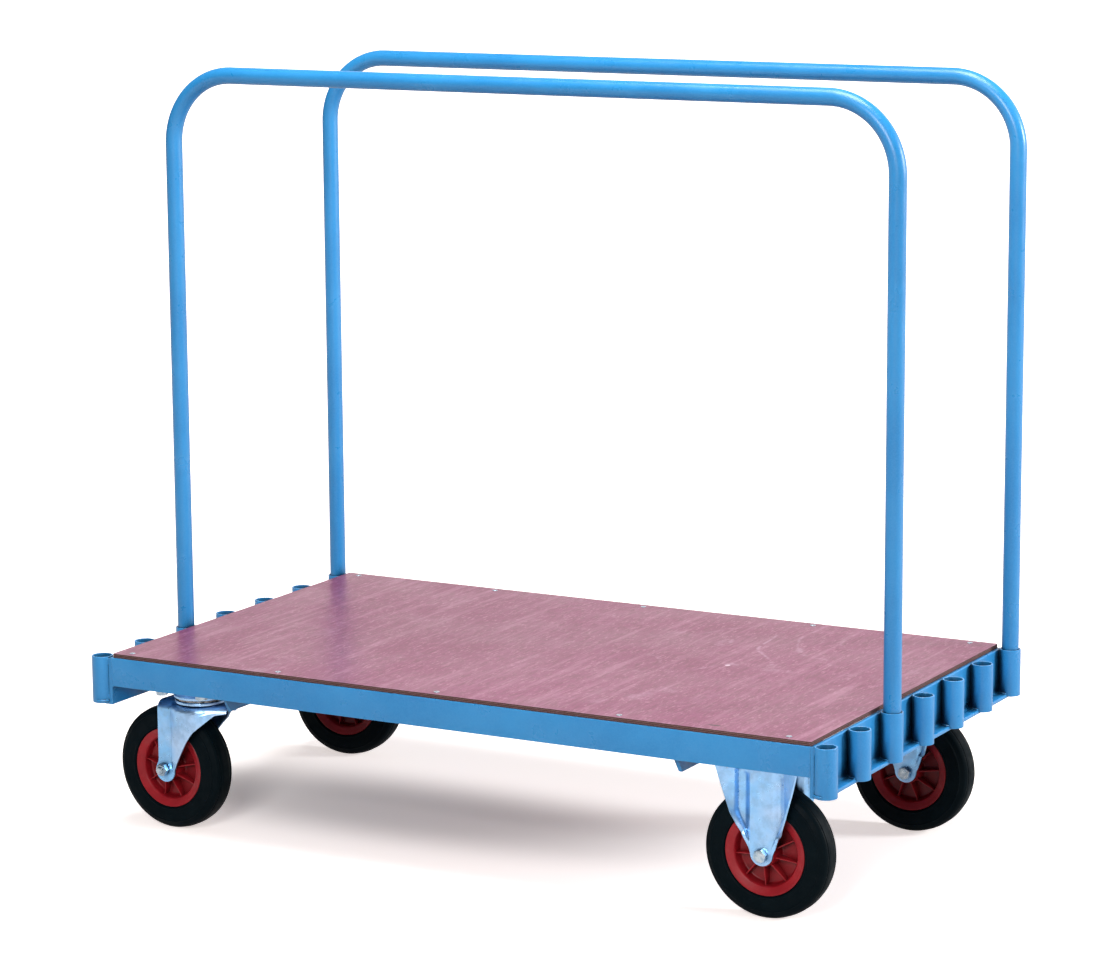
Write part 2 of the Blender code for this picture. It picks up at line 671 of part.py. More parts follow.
def build_swivel_head(name, holder):
    """Top plate with its pressed upper race, and the kingpin that hangs the fork from it."""
    plate = caster_plate(f"{name}_top_plate", holder, "Y", circle((0, 0), AXLE_HOLE_R))
    top = PLATE_BOTTOM + SINK
    dish = [(DISH_NECK[0], top), DISH_NECK, (RACE_OUTER_R, DISH_RIM_TOP), (RACE_OUTER_R, UPPER_RACE_BOTTOM)]
    dish += [(RACE_INNER_R, UPPER_RACE_BOTTOM), (RACE_INNER_R, top)]
    race = turned(f"{name}_upper_race", dish, TUBE_SIDES, ZINC, parent=holder, helper=True)
    boolean(plate, "UNION", race)
    nut_top = CROWN_BOTTOM - GAP
    kingpin_name = f"{name}_kingpin"
    kingpin = cylinder(
        kingpin_name, AXLE_R, nut_top - SINK, CASTER_HEIGHT - GAP, SMALL_SIDES, ZINC, parent=holder
    )
    nut = cylinder(
        f"{kingpin_name}_nut", KINGPIN_NUT_R, nut_top - KINGPIN_NUT, nut_top, SMALL_SIDES, ZINC,
        parent=holder, helper=True,
    )
    boolean(kingpin, "UNION", nut)


def build_swivel_caster(place, side):
    name = f"swivel_{place}"
    holder = add_empty(f"{name}_caster", location=(-CASTER_X, side * CASTER_Y, 0))
    build_swivel_head(name, holder)
    swivel = add_empty(f"{name}_swivel_axis", holder, turn=SWIVEL_REST[place])
    ring(
        f"{name}_ball_race", *BALL_RACE, LOWER_RACE_TOP + GAP, UPPER_RACE_BOTTOM - GAP, TUBE_SIDES,
        BEARING_STEEL, parent=swivel,
    )
    build_fork(name, swivel)
    build_wheel(name, swivel, -SWIVEL_TRAIL)
    build_axle(name, swivel, -SWIVEL_TRAIL, AXLE_HEAD_SIDE["swivel"])
    build_caster_bolts(name, holder, "Y")


def shade_round_pieces():
    """Smooth shading, except where two faces meet at more than SHARP_ANGLE."""
    for obj in TROLLEY.objects:
        if obj.type == "MESH":
            obj.data.shade_smooth()
            obj.data.set_sharp_from_angle(angle=math.radians(SHARP_ANGLE))


def main():
    build_frame()
    for name, number in HOOP_SOCKETS.items():
        build_hoop(name, number)
    for place, side in (("front", -1), ("back", 1)):
        build_swivel_caster(place, side)
        build_fixed_caster(place, side)
    shade_round_pieces()


main()
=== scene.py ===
import json
import math

import bmesh
import bpy
from mathutils import Matrix, Vector, noise


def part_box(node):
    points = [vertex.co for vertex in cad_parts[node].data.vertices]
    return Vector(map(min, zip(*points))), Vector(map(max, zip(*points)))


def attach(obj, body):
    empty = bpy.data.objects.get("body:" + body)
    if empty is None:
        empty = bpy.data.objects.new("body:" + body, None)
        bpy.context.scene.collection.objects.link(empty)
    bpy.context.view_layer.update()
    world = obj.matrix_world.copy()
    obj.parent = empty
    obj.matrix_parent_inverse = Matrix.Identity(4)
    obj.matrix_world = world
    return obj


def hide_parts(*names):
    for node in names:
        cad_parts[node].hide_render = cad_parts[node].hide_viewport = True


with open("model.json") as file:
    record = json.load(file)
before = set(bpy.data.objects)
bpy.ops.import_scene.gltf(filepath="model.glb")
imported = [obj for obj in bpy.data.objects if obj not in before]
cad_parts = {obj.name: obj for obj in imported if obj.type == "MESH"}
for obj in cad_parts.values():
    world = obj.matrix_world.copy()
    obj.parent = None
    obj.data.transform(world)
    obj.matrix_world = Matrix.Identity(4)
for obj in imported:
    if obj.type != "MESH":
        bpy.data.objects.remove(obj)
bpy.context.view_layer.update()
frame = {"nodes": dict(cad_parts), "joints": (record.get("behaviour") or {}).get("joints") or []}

# Everything is in metres, in the frame's own space: +Z up, -Y the front, the fixed casters at +X.
SIDES = {"front": -1, "back": 1}
ENDS = {"fixed": 1, "swivel": -1}
JOINTS = {joint["name"]: joint for joint in frame["joints"]}
SMOOTH_ANGLE = 32

# Sizes that the CAD solids hold, read back from them
DECK_LOW, DECK_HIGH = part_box("deck_board")
RAIL_LOW, RAIL_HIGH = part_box("side_rail_back")
END_LOW, END_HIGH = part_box("end_rail_fixed")
HOOP_LOW, HOOP_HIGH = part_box("hoop_front")
TYRE_LOW, TYRE_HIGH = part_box("fixed_front_tyre")
NUT_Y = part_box("fixed_front_axle_nut")[0].y
PLATE_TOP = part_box("swivel_front_top_plate")[1].z
FORK_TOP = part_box("swivel_front_fork")[1].z
WHEEL_R = (TYRE_HIGH.z - TYRE_LOW.z) / 2
WHEEL_Y = (TYRE_LOW.y + TYRE_HIGH.y) / 2
FRAME_TOP = RAIL_HIGH.z
FRAME_BOTTOM = END_LOW.z
END_FACE_X = RAIL_HIGH.x + 0.0003  # where the end rails' upright legs start
SOCKET_TOP = END_HIGH.z


# ----- Numbers and outlines

LONGEST_ARC = 0.49  # how much of a side of an outline the arc at its end may take


def smooth_step(value):
    value = min(max(value, 0), 1)
    return value * value * (3 - 2 * value)


def between(points, value):
    """Straight-line interpolation in a list of (key, result) pairs."""
    if value <= points[0][0]:
        return points[0][1]
    for (low, first), (high, second) in zip(points, points[1:]):
        if value <= high:
            return first + (second - first) * (value - low) / (high - low)
    return points[-1][1]


def spaced(start, end, gaps):
    """Evenly spaced numbers from start to end."""
    return [start + (end - start) * step / gaps for step in range(gaps + 1)]


def rounded(corners, steps=4):
    """A closed outline through (x, y, radius) corners, each turned into an arc."""
    outline = []
    for i, (x, y, radius) in enumerate(corners):
        here = Vector((x, y))
        if radius == 0:
            outline.append((x, y))
            continue
        before = Vector(corners[i - 1][:2]) - here
        after = Vector(corners[(i + 1) % len(corners)][:2]) - here
        reach = radius / math.tan(before.angle(after) / 2)
        reach = min(reach, LONGEST_ARC * before.length, LONGEST_ARC * after.length)
        start = here + before.normalized() * reach
        end = here + after.normalized() * reach
        for part in spaced(0, 1, steps):
            point = start.lerp(here, part).lerp(here.lerp(end, part), part)
            outline.append((point.x, point.y))
    return outline


def rounded_rectangle(length, width, radius):
    x, y = length / 2, width / 2
    return rounded([(x, y, radius), (-x, y, radius), (-x, -y, radius), (x, -y, radius)], 5)


def inset(outline, distance):
    """An anticlockwise outline, moved inwards by a small distance."""
    points = []
    for i, (x, y) in enumerate(outline):
        along = Vector(outline[(i + 1) % len(outline)]) - Vector(outline[i - 1])
        inward = Vector((-along.y, along.x)).normalized()
        points.append((x + inward.x * distance, y + inward.y * distance))
    return points


def circle(radius, height, sides):
    turns = [2 * math.pi * i / sides for i in range(sides)]
    return [(radius * math.cos(turn), radius * math.sin(turn), height) for turn in turns]


# ----- Meshes


def loft(loops, closed=False):
    """A closed mesh skinned over loops of as many points. Open ends get caps."""
    shape = bmesh.new()
    rings = [[shape.verts.new(point) for point in loop] for loop in loops]
    count = len(rings[0])
    for low, high in zip(rings, rings[1:] + (rings[:1] if closed else [])):
        for i in range(count):
            j = (i + 1) % count
            shape.faces.new((low[i], low[j], high[j], high[i]))
    if not closed:
        shape.faces.new(rings[0][::-1])
        shape.faces.new(rings[-1])
    bmesh.ops.recalc_face_normals(shape, faces=shape.faces)
    return shape


def turned_ring(corners, sides, steps=4):
    """Turned round Z from a closed section of (radius, height, corner radius)."""
    section = rounded(corners, steps)
    return loft([circle(radius, height, sides) for radius, height in section], closed=True)


def turned_solid(profile, sides):
    """Turned round Z from a profile of (radius, height) whose two ends are capped flat."""
    return loft([circle(radius, height, sides) for radius, height in profile])


def sleeve(radius, bore, bottom, top, edge, sides):
    """A tube or washer with rounded edges."""
    corners = ((radius, top), (radius, bottom), (bore, bottom), (bore, top))
    return turned_ring([(*corner, edge) for corner in corners], sides)


def plate(outline, bottom, top, edge):
    """A flat plate with rounded edges."""
    loops = []
    for height, shrink in ((bottom, edge), (bottom + edge, 0), (top - edge, 0), (top, edge)):
        loops.append([(x, y, height) for x, y in inset(outline, shrink)])
    return loft(loops)


def sheet_shape(rows, thickness):
    """Sheet metal through a grid of points on its outer face, thickened along its inward normals."""
    last_v, last_u = len(rows) - 1, len(rows[0]) - 1
    inner = []
    for v, row in enumerate(rows):
        inner_row = []
        for u, point in enumerate(row):
            along_u = Vector(row[min(u + 1, last_u)]) - Vector(row[max(u - 1, 0)])
            along_v = Vector(rows[min(v + 1, last_v)][u]) - Vector(rows[max(v - 1, 0)][u])
            normal = along_u.cross(along_v).normalized()
            inner_row.append(Vector(point) - normal * thickness)
        inner.append(inner_row)
    shape = bmesh.new()
    grids = [[[shape.verts.new(point) for point in row] for row in grid] for grid in (rows, inner)]
    for grid in grids:
        for low, high in zip(grid, grid[1:]):
            for u in range(last_u):
                shape.faces.new((low[u], low[u + 1], high[u + 1], high[u]))
    border = [(0, u) for u in range(last_u)] + [(v, last_u) for v in range(last_v)]
    border += [(last_v, u) for u in range(last_u, 0, -1)] + [(v, 0) for v in range(last_v, 0, -1)]
    for (v, u), (next_v, next_u) in zip(border, border[1:] + border[:1]):
        edge = [grid[row][column] for grid in grids for row, column in ((v, u), (next_v, next_u))]
        shape.faces.new((edge[1], edge[0], edge[2], edge[3]))
    bmesh.ops.recalc_face_normals(shape, faces=shape.faces)
    return shape


def as_mesh(name, shape):
    mesh = bpy.data.meshes.new(name)
    shape.to_mesh(mesh)
    shape.free()
    return mesh


def merged(*shapes):
    """One mesh that holds all the shapes."""
    whole = bmesh.new()
    for shape in shapes:
        mesh = as_mesh("part", shape)
        whole.from_mesh(mesh)
        bpy.data.meshes.remove(mesh)
    return whole


def moved(shape, matrix):
    bmesh.ops.transform(shape, matrix=matrix, verts=shape.verts)
    return shape


def at(x, y, z):
    return Matrix.Translation((x, y, z))


def turned(axis, angle):
    return Matrix.Rotation(angle, 4, axis)


UPSIDE_DOWN = turned("X", math.pi)


# ----- Welds

BEAD_STEP = 0.0007  # between the rings of a bead
BEAD_RIPPLE_LENGTH, BEAD_RIPPLE = 0.0021, 0.14
BEAD_LUMPS_SCALE, BEAD_LUMPS = 260, 0.18
BEAD_SIDES = 10


def bead(path, radius):
    """A weld bead along a path, with the ripples of the weld pool."""
    loops = []
    last = len(path) - 1
    for i, point in enumerate(path):
        here = Vector(point)
        along = (Vector(path[min(i + 1, last)]) - Vector(path[max(i - 1, 0)])).normalized()
        side = along.orthogonal().normalized()
        other = along.cross(side)
        ripple = 1 - BEAD_RIPPLE + BEAD_RIPPLE * ((i * BEAD_STEP / BEAD_RIPPLE_LENGTH) % 1)
        ripple += BEAD_LUMPS * noise.noise(here * BEAD_LUMPS_SCALE)
        taper = math.sqrt(min(1, (min(i, last - i) + 0.4) / 3))
        loops.append([
            here + radius * ripple * taper * (x * side + y * other) for x, y, _ in circle(1, 0, BEAD_SIDES)
        ])
    return loft(loops)


def line(start, end):
    """Points along a straight weld."""
    start, end = Vector(start), Vector(end)
    count = max(int((end - start).length / BEAD_STEP), 4)
    return [start.lerp(end, i / count) for i in range(count + 1)]


def arc_path(centre, radius, start, end):
    """Points along a weld that follows part of a circle in a level plane. Angles in degrees."""
    count = max(int(abs(math.radians(end - start)) * radius / BEAD_STEP), 4)
    turns = [math.radians(angle) for angle in spaced(start, end, count)]
    return [Vector(centre) + radius * Vector((math.cos(t), math.sin(t), 0)) for t in turns]


# ----- Fasteners

HEXAGON_POINTS = 36
CHAMFER_START = 0.49  # radius of the flat face, as a share of the width across the flats
CHAMFER_SLOPE = 0.5


def hexagon_block(across_flats, bottom, top, chamfer_bottom=False):
    """A hexagonal head or nut with the usual chamfer turned on its corners."""
    face_r = CHAMFER_START * across_flats

    def hexagon(height, slope):
        points = []
        for i in range(HEXAGON_POINTS):
            turn = 2 * math.pi * i / HEXAGON_POINTS
            reach = across_flats / 2 / math.cos(turn % (math.pi / 3) - math.pi / 6)
            drop = slope * max(reach - face_r, 0)
            points.append((reach * math.cos(turn), reach * math.sin(turn), height + drop))
        return points

    loops = [hexagon(bottom, CHAMFER_SLOPE if chamfer_bottom else 0), hexagon(top, -CHAMFER_SLOPE)]
    loops.append(circle(face_r * 0.97, top, HEXAGON_POINTS))
    if chamfer_bottom:
        loops.insert(0, circle(face_r * 0.97, bottom, HEXAGON_POINTS))
    return loft(loops)


def threaded_rod(radius, bottom, top, pitch):
    """A rod with thread ridges, and a chamfer at its top."""
    profile = [(radius - 0.5 * pitch, bottom)]
    height = bottom
    while height + pitch < top - pitch:
        profile += [(radius - 0.55 * pitch, height + 0.1 * pitch), (radius, height + 0.5 * pitch)]
        height += pitch
    profile += [(radius - 0.5 * pitch, height), (radius - 0.1 * pitch, top - 0.9 * pitch)]
    profile += [(radius - 0.8 * pitch, top), (0.0004, top)]
    return turned_solid(profile, 32)


# ----- Pieces


def add_object(name, data):
    thing = bpy.data.objects.new(name, data)
    bpy.context.scene.collection.objects.link(thing)
    return thing


def add_piece(name, shape, body, finish, *replaced, place=None):
    """Makes a piece of a shape, with its finish, and lets it ride on a CAD body."""
    if place is not None:
        moved(shape, place)
    material, slot = finish
    mesh = as_mesh(name, shape)
    mesh.shade_smooth()
    mesh.set_sharp_from_angle(angle=math.radians(SMOOTH_ANGLE))
    mesh.materials.append(material)
    piece = add_object(name, mesh)
    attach(piece, body)
    if replaced:
        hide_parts(*replaced)


# ----- Looks

EDGE_RANGE = 0.02, 0.16  # how far the normals differ at an edge's start and at its sharpest


class Looks:
    """A node material under construction."""

    def __init__(self, name):
        self.material = bpy.data.materials.new(name)
        self.material.use_nodes = True
        self.tree = self.material.node_tree
        self.shader = self.tree.nodes["Principled BSDF"]
        self.place = self.add("TexCoord").outputs["Object"]

    def add(self, kind, **values):
        """A node. Values named as its inputs are set or linked, and others are its settings."""
        node = self.tree.nodes.new("ShaderNode" + kind)
        for name, value in values.items():
            title = name.replace("_", " ")
            if title in node.inputs:
                self.feed(node.inputs[title], value)
            else:
                setattr(node, name, value)
        return node

    def feed(self, socket, value):
        if isinstance(value, bpy.types.NodeSocket):
            self.tree.links.new(value, socket)
        elif socket.type == "RGBA":
            socket.default_value = (*value, 1)
        else:
            socket.default_value = value

    def noise(self, scale, detail=3, roughness=0.55, stretch=(1, 1, 1), shift=(0, 0, 0)):
        """Noise of scale features per metre, drawn out along axes whose stretch is below 1."""
        spot = self.add("Mapping", Vector=self.place, Scale=stretch, Location=shift)
        node = self.add("TexNoise", Vector=spot.outputs[0], Scale=scale, Detail=detail)
        self.feed(node.inputs["Roughness"], roughness)
        return node.outputs[0]

    def wired(self, kind, *values, **settings):
        """The outputs of a node whose first inputs are set or linked in order."""
        node = self.add(kind, **settings)
        for socket, value in zip(node.inputs, values):
            self.feed(socket, value)
        return node.outputs

    def spread(self, *numbers):
        """Maps a value from low..high, clamped, to 0..1 or to the last two numbers."""
        return self.wired("MapRange", *numbers, interpolation_type="SMOOTHSTEP")[0]

    def math(self, operation, *values):
        return self.wired("Math", *values, operation=operation)[0]

    def vector(self, operation, *vectors):
        return self.wired("VectorMath", *vectors, operation=operation)

    def height_of(self, vector):
        return self.wired("SeparateXYZ", vector)[2]

    def mix(self, mask, first, second, blend_type="MIX"):
        node = self.add("Mix", data_type="RGBA", blend_type=blend_type)
        self.feed(node.inputs["Factor"], mask)
        self.feed(node.inputs[6], first)
        self.feed(node.inputs[7], second)
        return node.outputs[2]

    def over(self, colour, mask, strength, second):
        """The colour, with the second one laid over it at a strength where the mask is 1."""
        return self.mix(self.math("MULTIPLY", mask, strength), colour, second)

    def edges(self, radius):
        """1 on outer edges and corners within the radius, and 0 on flat stretches."""
        soft = self.add("Bevel", samples=4, Radius=radius).outputs[0]
        flat = self.add("NewGeometry").outputs["Normal"]
        dot = self.vector("DOT_PRODUCT", soft, flat)["Value"]
        return self.spread(self.math("SUBTRACT", 1, dot), *EDGE_RANGE)

    def shaded(self, colour, distance, closed, open_, shade):
        """The colour, multiplied by the shade in corners and gaps."""
        ambient = self.add("AmbientOcclusion", samples=4, Distance=distance).outputs["AO"]
        return self.mix(self.spread(ambient, closed, open_, 1, 0), colour, shade, "MULTIPLY")

    def spot(self, centre, size):
        """1 at a spot on the object, falling to 0 at the given half sizes."""
        shifted = self.vector("SUBTRACT", self.place, centre)[0]
        scaled = self.vector("DIVIDE", shifted, size)[0]
        return self.spread(self.vector("LENGTH", scaled)["Value"], 0, 1, 1, 0)

    def bumps(self, *layers):
        """Stacks bump layers of (height, depth in metres) on the shader's normal."""
        normal = None
        for height, depth in layers:
            node = self.add("Bump", Height=height, Distance=depth, Strength=1)
            if normal is not None:
                self.feed(node.inputs["Normal"], normal)
            normal = node.outputs[0]
        self.feed(self.shader.inputs["Normal"], normal)

    def finish(self, **values):
        for name, value in values.items():
            self.feed(self.shader.inputs[name.replace("_", " ")], value)
        return self.material


def blue_paint():
    """Powder coat: orange peel, pale edges that are partly worn thin paint and partly a painted highlight,
    painted shade in corners and gaps, and a few scratches.
    """
    look = Looks("blue_powder_coat")
    cloud = look.noise(7, 4)
    colour = look.mix(look.spread(cloud, 0.3, 0.7), (0.017, 0.215, 0.52), (0.026, 0.26, 0.59))
    speck = look.spread(look.noise(420, 2), 0.35, 0.65)
    colour = look.over(colour, speck, 0.25, (0.045, 0.3, 0.61))
    # Pale edges: partly paint worn thin, partly a painted highlight.
    edge = look.math("MULTIPLY", look.edges(0.0012), look.spread(look.noise(60, 4), 0.35, 0.62))
    colour = look.over(colour, edge, 0.65, (0.17, 0.47, 0.78))
    # Painted shade: near-black in corners, in the gaps beside the sockets and in their bores.
    colour = look.shaded(colour, 0.03, 0.46, 0.86, (0.01, 0.08, 0.09))
    scratch = look.spread(look.noise(60, 5, 0.7, (0.25, 1, 6)), 0.7, 0.74)
    colour = look.over(colour, scratch, 0.3, (0.22, 0.44, 0.66))
    peel = look.noise(330, 2, 0.45)
    look.bumps((peel, 0.00016), (look.noise(1800, 1), 0.00002), (scratch, -0.00005))
    gloss = look.spread(look.noise(24, 5), 0.3, 0.7, 0.26, 0.4)
    return look.finish(Base_Color=colour, Roughness=gloss, Specular_IOR_Level=0.55)


PLY_PITCH = 0.0025


def deck_board_look():
    """Resin-filmed plywood, its grain across the trolley and showing through the film."""
    look = Looks("filmed_board")
    upward = look.math("ABSOLUTE", look.height_of(look.add("NewGeometry").outputs["Normal"]))
    side = look.math("SUBTRACT", 1, look.spread(upward, 0.3, 0.7))
    fibre = look.noise(240, 4, 0.6, (1, 1, 3))
    colour = look.mix(side, film_colour(look), ply_colour(look, fibre))
    pores = look.noise(330, 3, 0.6, (1, 0.09, 1))
    torn = look.math("MULTIPLY", side, fibre)
    look.bumps((pores, 0.00006), (look.noise(900, 2), 0.00002), (torn, 0.0003))
    film = look.spread(look.noise(9, 6), 0.3, 0.7, 0.31, 0.37)
    rough = look.spread(side, 0, 1, film, 0.85)
    return look.finish(Base_Color=colour, Roughness=rough, Specular_IOR_Level=0.24)


def ply_colour(look, fibre):
    """Light and dark plies in turn, seen on the board's edge."""
    ply = look.math("SINE", look.math("MULTIPLY", look.height_of(look.place), 2 * math.pi / PLY_PITCH))
    colour = look.mix(look.spread(ply, -0.4, 0.4), (0.07, 0.036, 0.028), (0.185, 0.11, 0.09))
    return look.over(colour, look.spread(fibre, 0.4, 0.7), 0.5, (0.05, 0.028, 0.024))


# Places and half sizes of the marks on the board
FLAME = (0.27, 0.13, 0.295), (0.24, 0.34, 1)
WHITE_MARK = (0.29, 0.021, 0.295), (0.007, 0.008, 1)
DARK_SPOT = (0.44, -0.326, 0.295), (0.016, 0.005, 1)
FLAME_RINGS = 46


def film_colour(look):
    """Mauve film over rotary-cut veneer, with fine pores, flame figure, rubbed patches and a small dark
    spot.
    """
    cloud = look.noise(3.2, 5, 0.6, (1, 0.5, 1), (4.2, 1.3, 0))
    colour = look.mix(look.spread(cloud, 0.35, 0.7), (0.186, 0.034, 0.092), (0.206, 0.042, 0.108))
    pores = look.noise(260, 4, 0.7, (1, 0.16, 1))
    colour = look.over(colour, look.spread(pores, 0.46, 0.62), 0.7, (0.13, 0.026, 0.056))
    fleck = look.noise(300, 4, 0.7, (1, 0.22, 1), (9, 3, 0))
    colour = look.over(colour, look.spread(fleck, 0.52, 0.68), 0.6, (0.42, 0.19, 0.27))
    streak = look.noise(70, 4, 0.6, (1, 0.06, 1), (2, 5, 0))
    colour = look.over(colour, look.spread(streak, 0.5, 0.7), 0.35, (0.42, 0.19, 0.28))
    colour = look.over(colour, flame_mask(look, cloud), 0.45, (0.52, 0.32, 0.43))
    rubbed = look.spread(look.noise(3.4, 8, 0.72, (1, 0.6, 1), (1.7, 6.1, 0)), 0.6, 0.7)
    colour = look.over(colour, rubbed, 0.28, (0.5, 0.3, 0.41))
    colour = look.mix(look.spread(look.spot(*WHITE_MARK), 0.2, 0.6), colour, (0.6, 0.46, 0.54))
    return look.mix(look.spread(look.spot(*DARK_SPOT), 0.1, 0.5), colour, (0.03, 0.01, 0.012))


def flame_mask(look, cloud):
    """Ragged rings, strongest in one place and faint elsewhere."""
    swirl = look.noise(2.6, 3, 0.45, (1, 0.42, 1), (0.3, 7.7, 0))
    rings = look.math("ABSOLUTE", look.math("SINE", look.math("MULTIPLY", swirl, FLAME_RINGS)))
    where = look.math("MAXIMUM", look.spot(*FLAME), look.math("MULTIPLY", cloud, 0.28))
    ragged = look.math("MULTIPLY", where, look.spread(look.noise(38, 5, 0.65), 0.42, 0.6))
    return look.math("MULTIPLY", look.spread(rings, 0, 0.3, 1, 0), ragged)


def zinc_look():
    """Bright zinc plate on pressed steel: mottled, bluish, stained here and there, with painted shade in
    its flutes and corners.
    """
    look = Looks("zinc_plate")
    mottle = look.noise(55, 5, 0.6)
    tint = look.noise(16, 3, 0.5, shift=(3, 1, 2))
    colour = look.mix(look.spread(tint, 0.3, 0.7), (0.27, 0.59, 0.96), (0.49, 0.69, 0.96))
    colour = look.over(colour, look.spread(mottle, 0.42, 0.66), 0.45, (0.24, 0.4, 0.61))
    stain = look.spread(look.noise(30, 6, 0.7, shift=(7, 7, 1)), 0.64, 0.72)
    colour = look.over(colour, stain, 0.4, (0.22, 0.2, 0.26))
    # Painted shade in the flutes, creases and corners.
    colour = look.shaded(colour, 0.01, 0.4, 0.9, (0.16, 0.21, 0.28))
    look.bumps((mottle, 0.00025), (look.noise(520, 3), 0.00006))
    rough = look.spread(look.noise(75, 4), 0.3, 0.7, 0.26, 0.44)
    return look.finish(Base_Color=colour, Roughness=rough, Metallic=0.97)


def bright_zinc_look():
    """The zinc on bolts, nuts and screws: finer and shinier than on the pressings, with painted shade in
    the corners.
    """
    look = Looks("bright_zinc")
    tint = look.noise(180, 4)
    colour = look.mix(look.spread(tint, 0.35, 0.65), (0.34, 0.47, 0.58), (0.56, 0.64, 0.7))
    # Painted shade in corners and recesses.
    colour = look.shaded(colour, 0.004, 0.3, 0.9, (0.22, 0.26, 0.32))
    look.bumps((look.noise(900, 3), 0.00005))
    rough = look.spread(look.noise(260, 4), 0.3, 0.7, 0.22, 0.42)
    return look.finish(Base_Color=colour, Roughness=rough, Metallic=0.9)


def rubber_look():
    """Black tyre rubber with patches of bloom and a few scuffs."""
    look = Looks("tyre_rubber")
    bloom = look.spread(look.noise(26, 6, 0.65), 0.45, 0.75)
    colour = look.over((0.0006, 0.004, 0.0062), bloom, 0.6, (0.0022, 0.008, 0.011))
    scuff = look.spread(look.noise(70, 7, 0.75, shift=(2, 5, 9)), 0.66, 0.72)
    colour = look.over(colour, scuff, 0.25, (0.03, 0.04, 0.045))
    look.bumps((look.noise(700, 3), 0.0001), (look.noise(90, 4), 0.00012))
    rough = look.spread(look.noise(60, 5), 0.3, 0.7, 0.46, 0.66)
    return look.finish(Base_Color=colour, Roughness=rough, Specular_IOR_Level=0.06)


def red_plastic_look():
    """Moulded red polypropylene: slight flow marks, a fine satin grain, some dust, painted shade in the
    corners and a painted highlight on the edges.
    """
    look = Looks("red_polypropylene")
    flow = look.noise(32, 5, 0.6)
    colour = look.mix(look.spread(flow, 0.3, 0.7), (0.29, 0.0055, 0.012), (0.38, 0.009, 0.017))
    dust = look.spread(look.noise(55, 7, 0.7, shift=(4, 4, 4)), 0.55, 0.8)
    colour = look.over(colour, dust, 0.22, (0.46, 0.16, 0.15))
    # Painted shade in the corners and between the ribs.
    colour = look.shaded(colour, 0.02, 0.3, 0.95, (0.3, 0.22, 0.26))
    # Painted highlight: brighter red along the edges.
    colour = look.over(colour, look.edges(0.0008), 0.3, (0.62, 0.05, 0.05))
    look.bumps((look.noise(650, 2), 0.00007), (flow, 0.00015))
    rough = look.spread(look.noise(70, 4), 0.3, 0.7, 0.34, 0.5)
    return look.finish(Base_Color=colour, Roughness=rough, Specular_IOR_Level=0.35)


def bearing_look():
    """Greased steel, darker where the grease has caught dirt."""
    look = Looks("greased_steel")
    grease = look.spread(look.noise(150, 5, 0.65), 0.4, 0.65)
    colour = look.mix(grease, (0.34, 0.34, 0.35), (0.045, 0.04, 0.035))
    look.bumps((look.noise(420, 3), 0.00012))
    rough = look.spread(grease, 0, 1, 0.25, 0.5)
    metal = look.spread(grease, 0, 1, 1, 0.2)
    return look.finish(Base_Color=colour, Roughness=rough, Metallic=metal)


# Each finish is a material and the name of its slot
BLUE = blue_paint(), "blue_paint"
BOARD = deck_board_look(), "deck_film"
ZINC = zinc_look(), "zinc_plate"
BRIGHT = bright_zinc_look(), "zinc_plate"
RUBBER = rubber_look(), "black_rubber"
RED = red_plastic_look(), "red_plastic"
BEARING = bearing_look(), "bearing_steel"


# ----- Deck

DECK_GAP = 0.00005  # between the board and the rails round it
DECK_CORNER_R = 0.002
# How deep the board's edge is at each share of its thickness, up to the middle
PLY_GROOVES = ((0, 0), (0.08, 0.0001), (0.19, 0), (0.21, 0.00012), (0.39, 0.00012), (0.41, 0))
SCREW_SPOTS_X = (-0.577, -0.305, -0.021, 0.289, 0.563)
SCREW_INSET_Y = 0.0145
SCREW_TURN = 0.7  # from each screw to the next
SCREW_SIDES = 48
SCREW_RIM = ((0.00414, -0.001), (0.0046, 0.0002), (0.004278, 0.0006))  # (radius, height)
# Reach of the cross's arms and waist, and its height
RECESS_TOP, RECESS_FLOOR = (0.0024, 0.0011, 0.0006), (0.0019, 0.0008, -0.0008)


def build_deck():
    """The board, its edge slightly stepped at the plies, and its screws."""
    length, width = 2 * (END_FACE_X - DECK_GAP), DECK_HIGH.y - DECK_LOW.y
    bottom = FRAME_TOP + DECK_GAP
    steps = [*PLY_GROOVES, *((1 - part, step) for part, step in reversed(PLY_GROOVES))]
    loops = []
    for part, step in steps:
        outline = rounded_rectangle(length - 2 * step, width - 2 * step, DECK_CORNER_R)
        loops.append([(x, y, bottom + part * (DECK_HIGH.z - bottom)) for x, y in outline])
    add_piece("deck_plywood", loft(loops), "trolley", BOARD, "deck_board")
    for side_name, side in SIDES.items():
        y = side * (DECK_HIGH.y - SCREW_INSET_Y)
        for number, x in enumerate(SCREW_SPOTS_X, 1):
            name = f"deck_screw_{side_name}_{number}"
            place = at(x, y, DECK_HIGH.z) @ turned("Z", number * SCREW_TURN)
            add_piece(name, screw_head(), "trolley", BRIGHT, place=place)


def screw_head():
    """A countersunk head with a cross recess, standing a hair above the board."""

    def cross(arm, waist, height):
        points = []
        for x, y, _ in circle(1, 0, SCREW_SIDES):
            reach = arm if min(abs(x), abs(y)) < 0.3 else waist
            points.append((reach * x, reach * y, height))
        return points

    loops = [circle(radius, height, SCREW_SIDES) for radius, height in SCREW_RIM]
    return loft([*loops, cross(*RECESS_TOP), cross(*RECESS_FLOOR)])


# ----- Frame

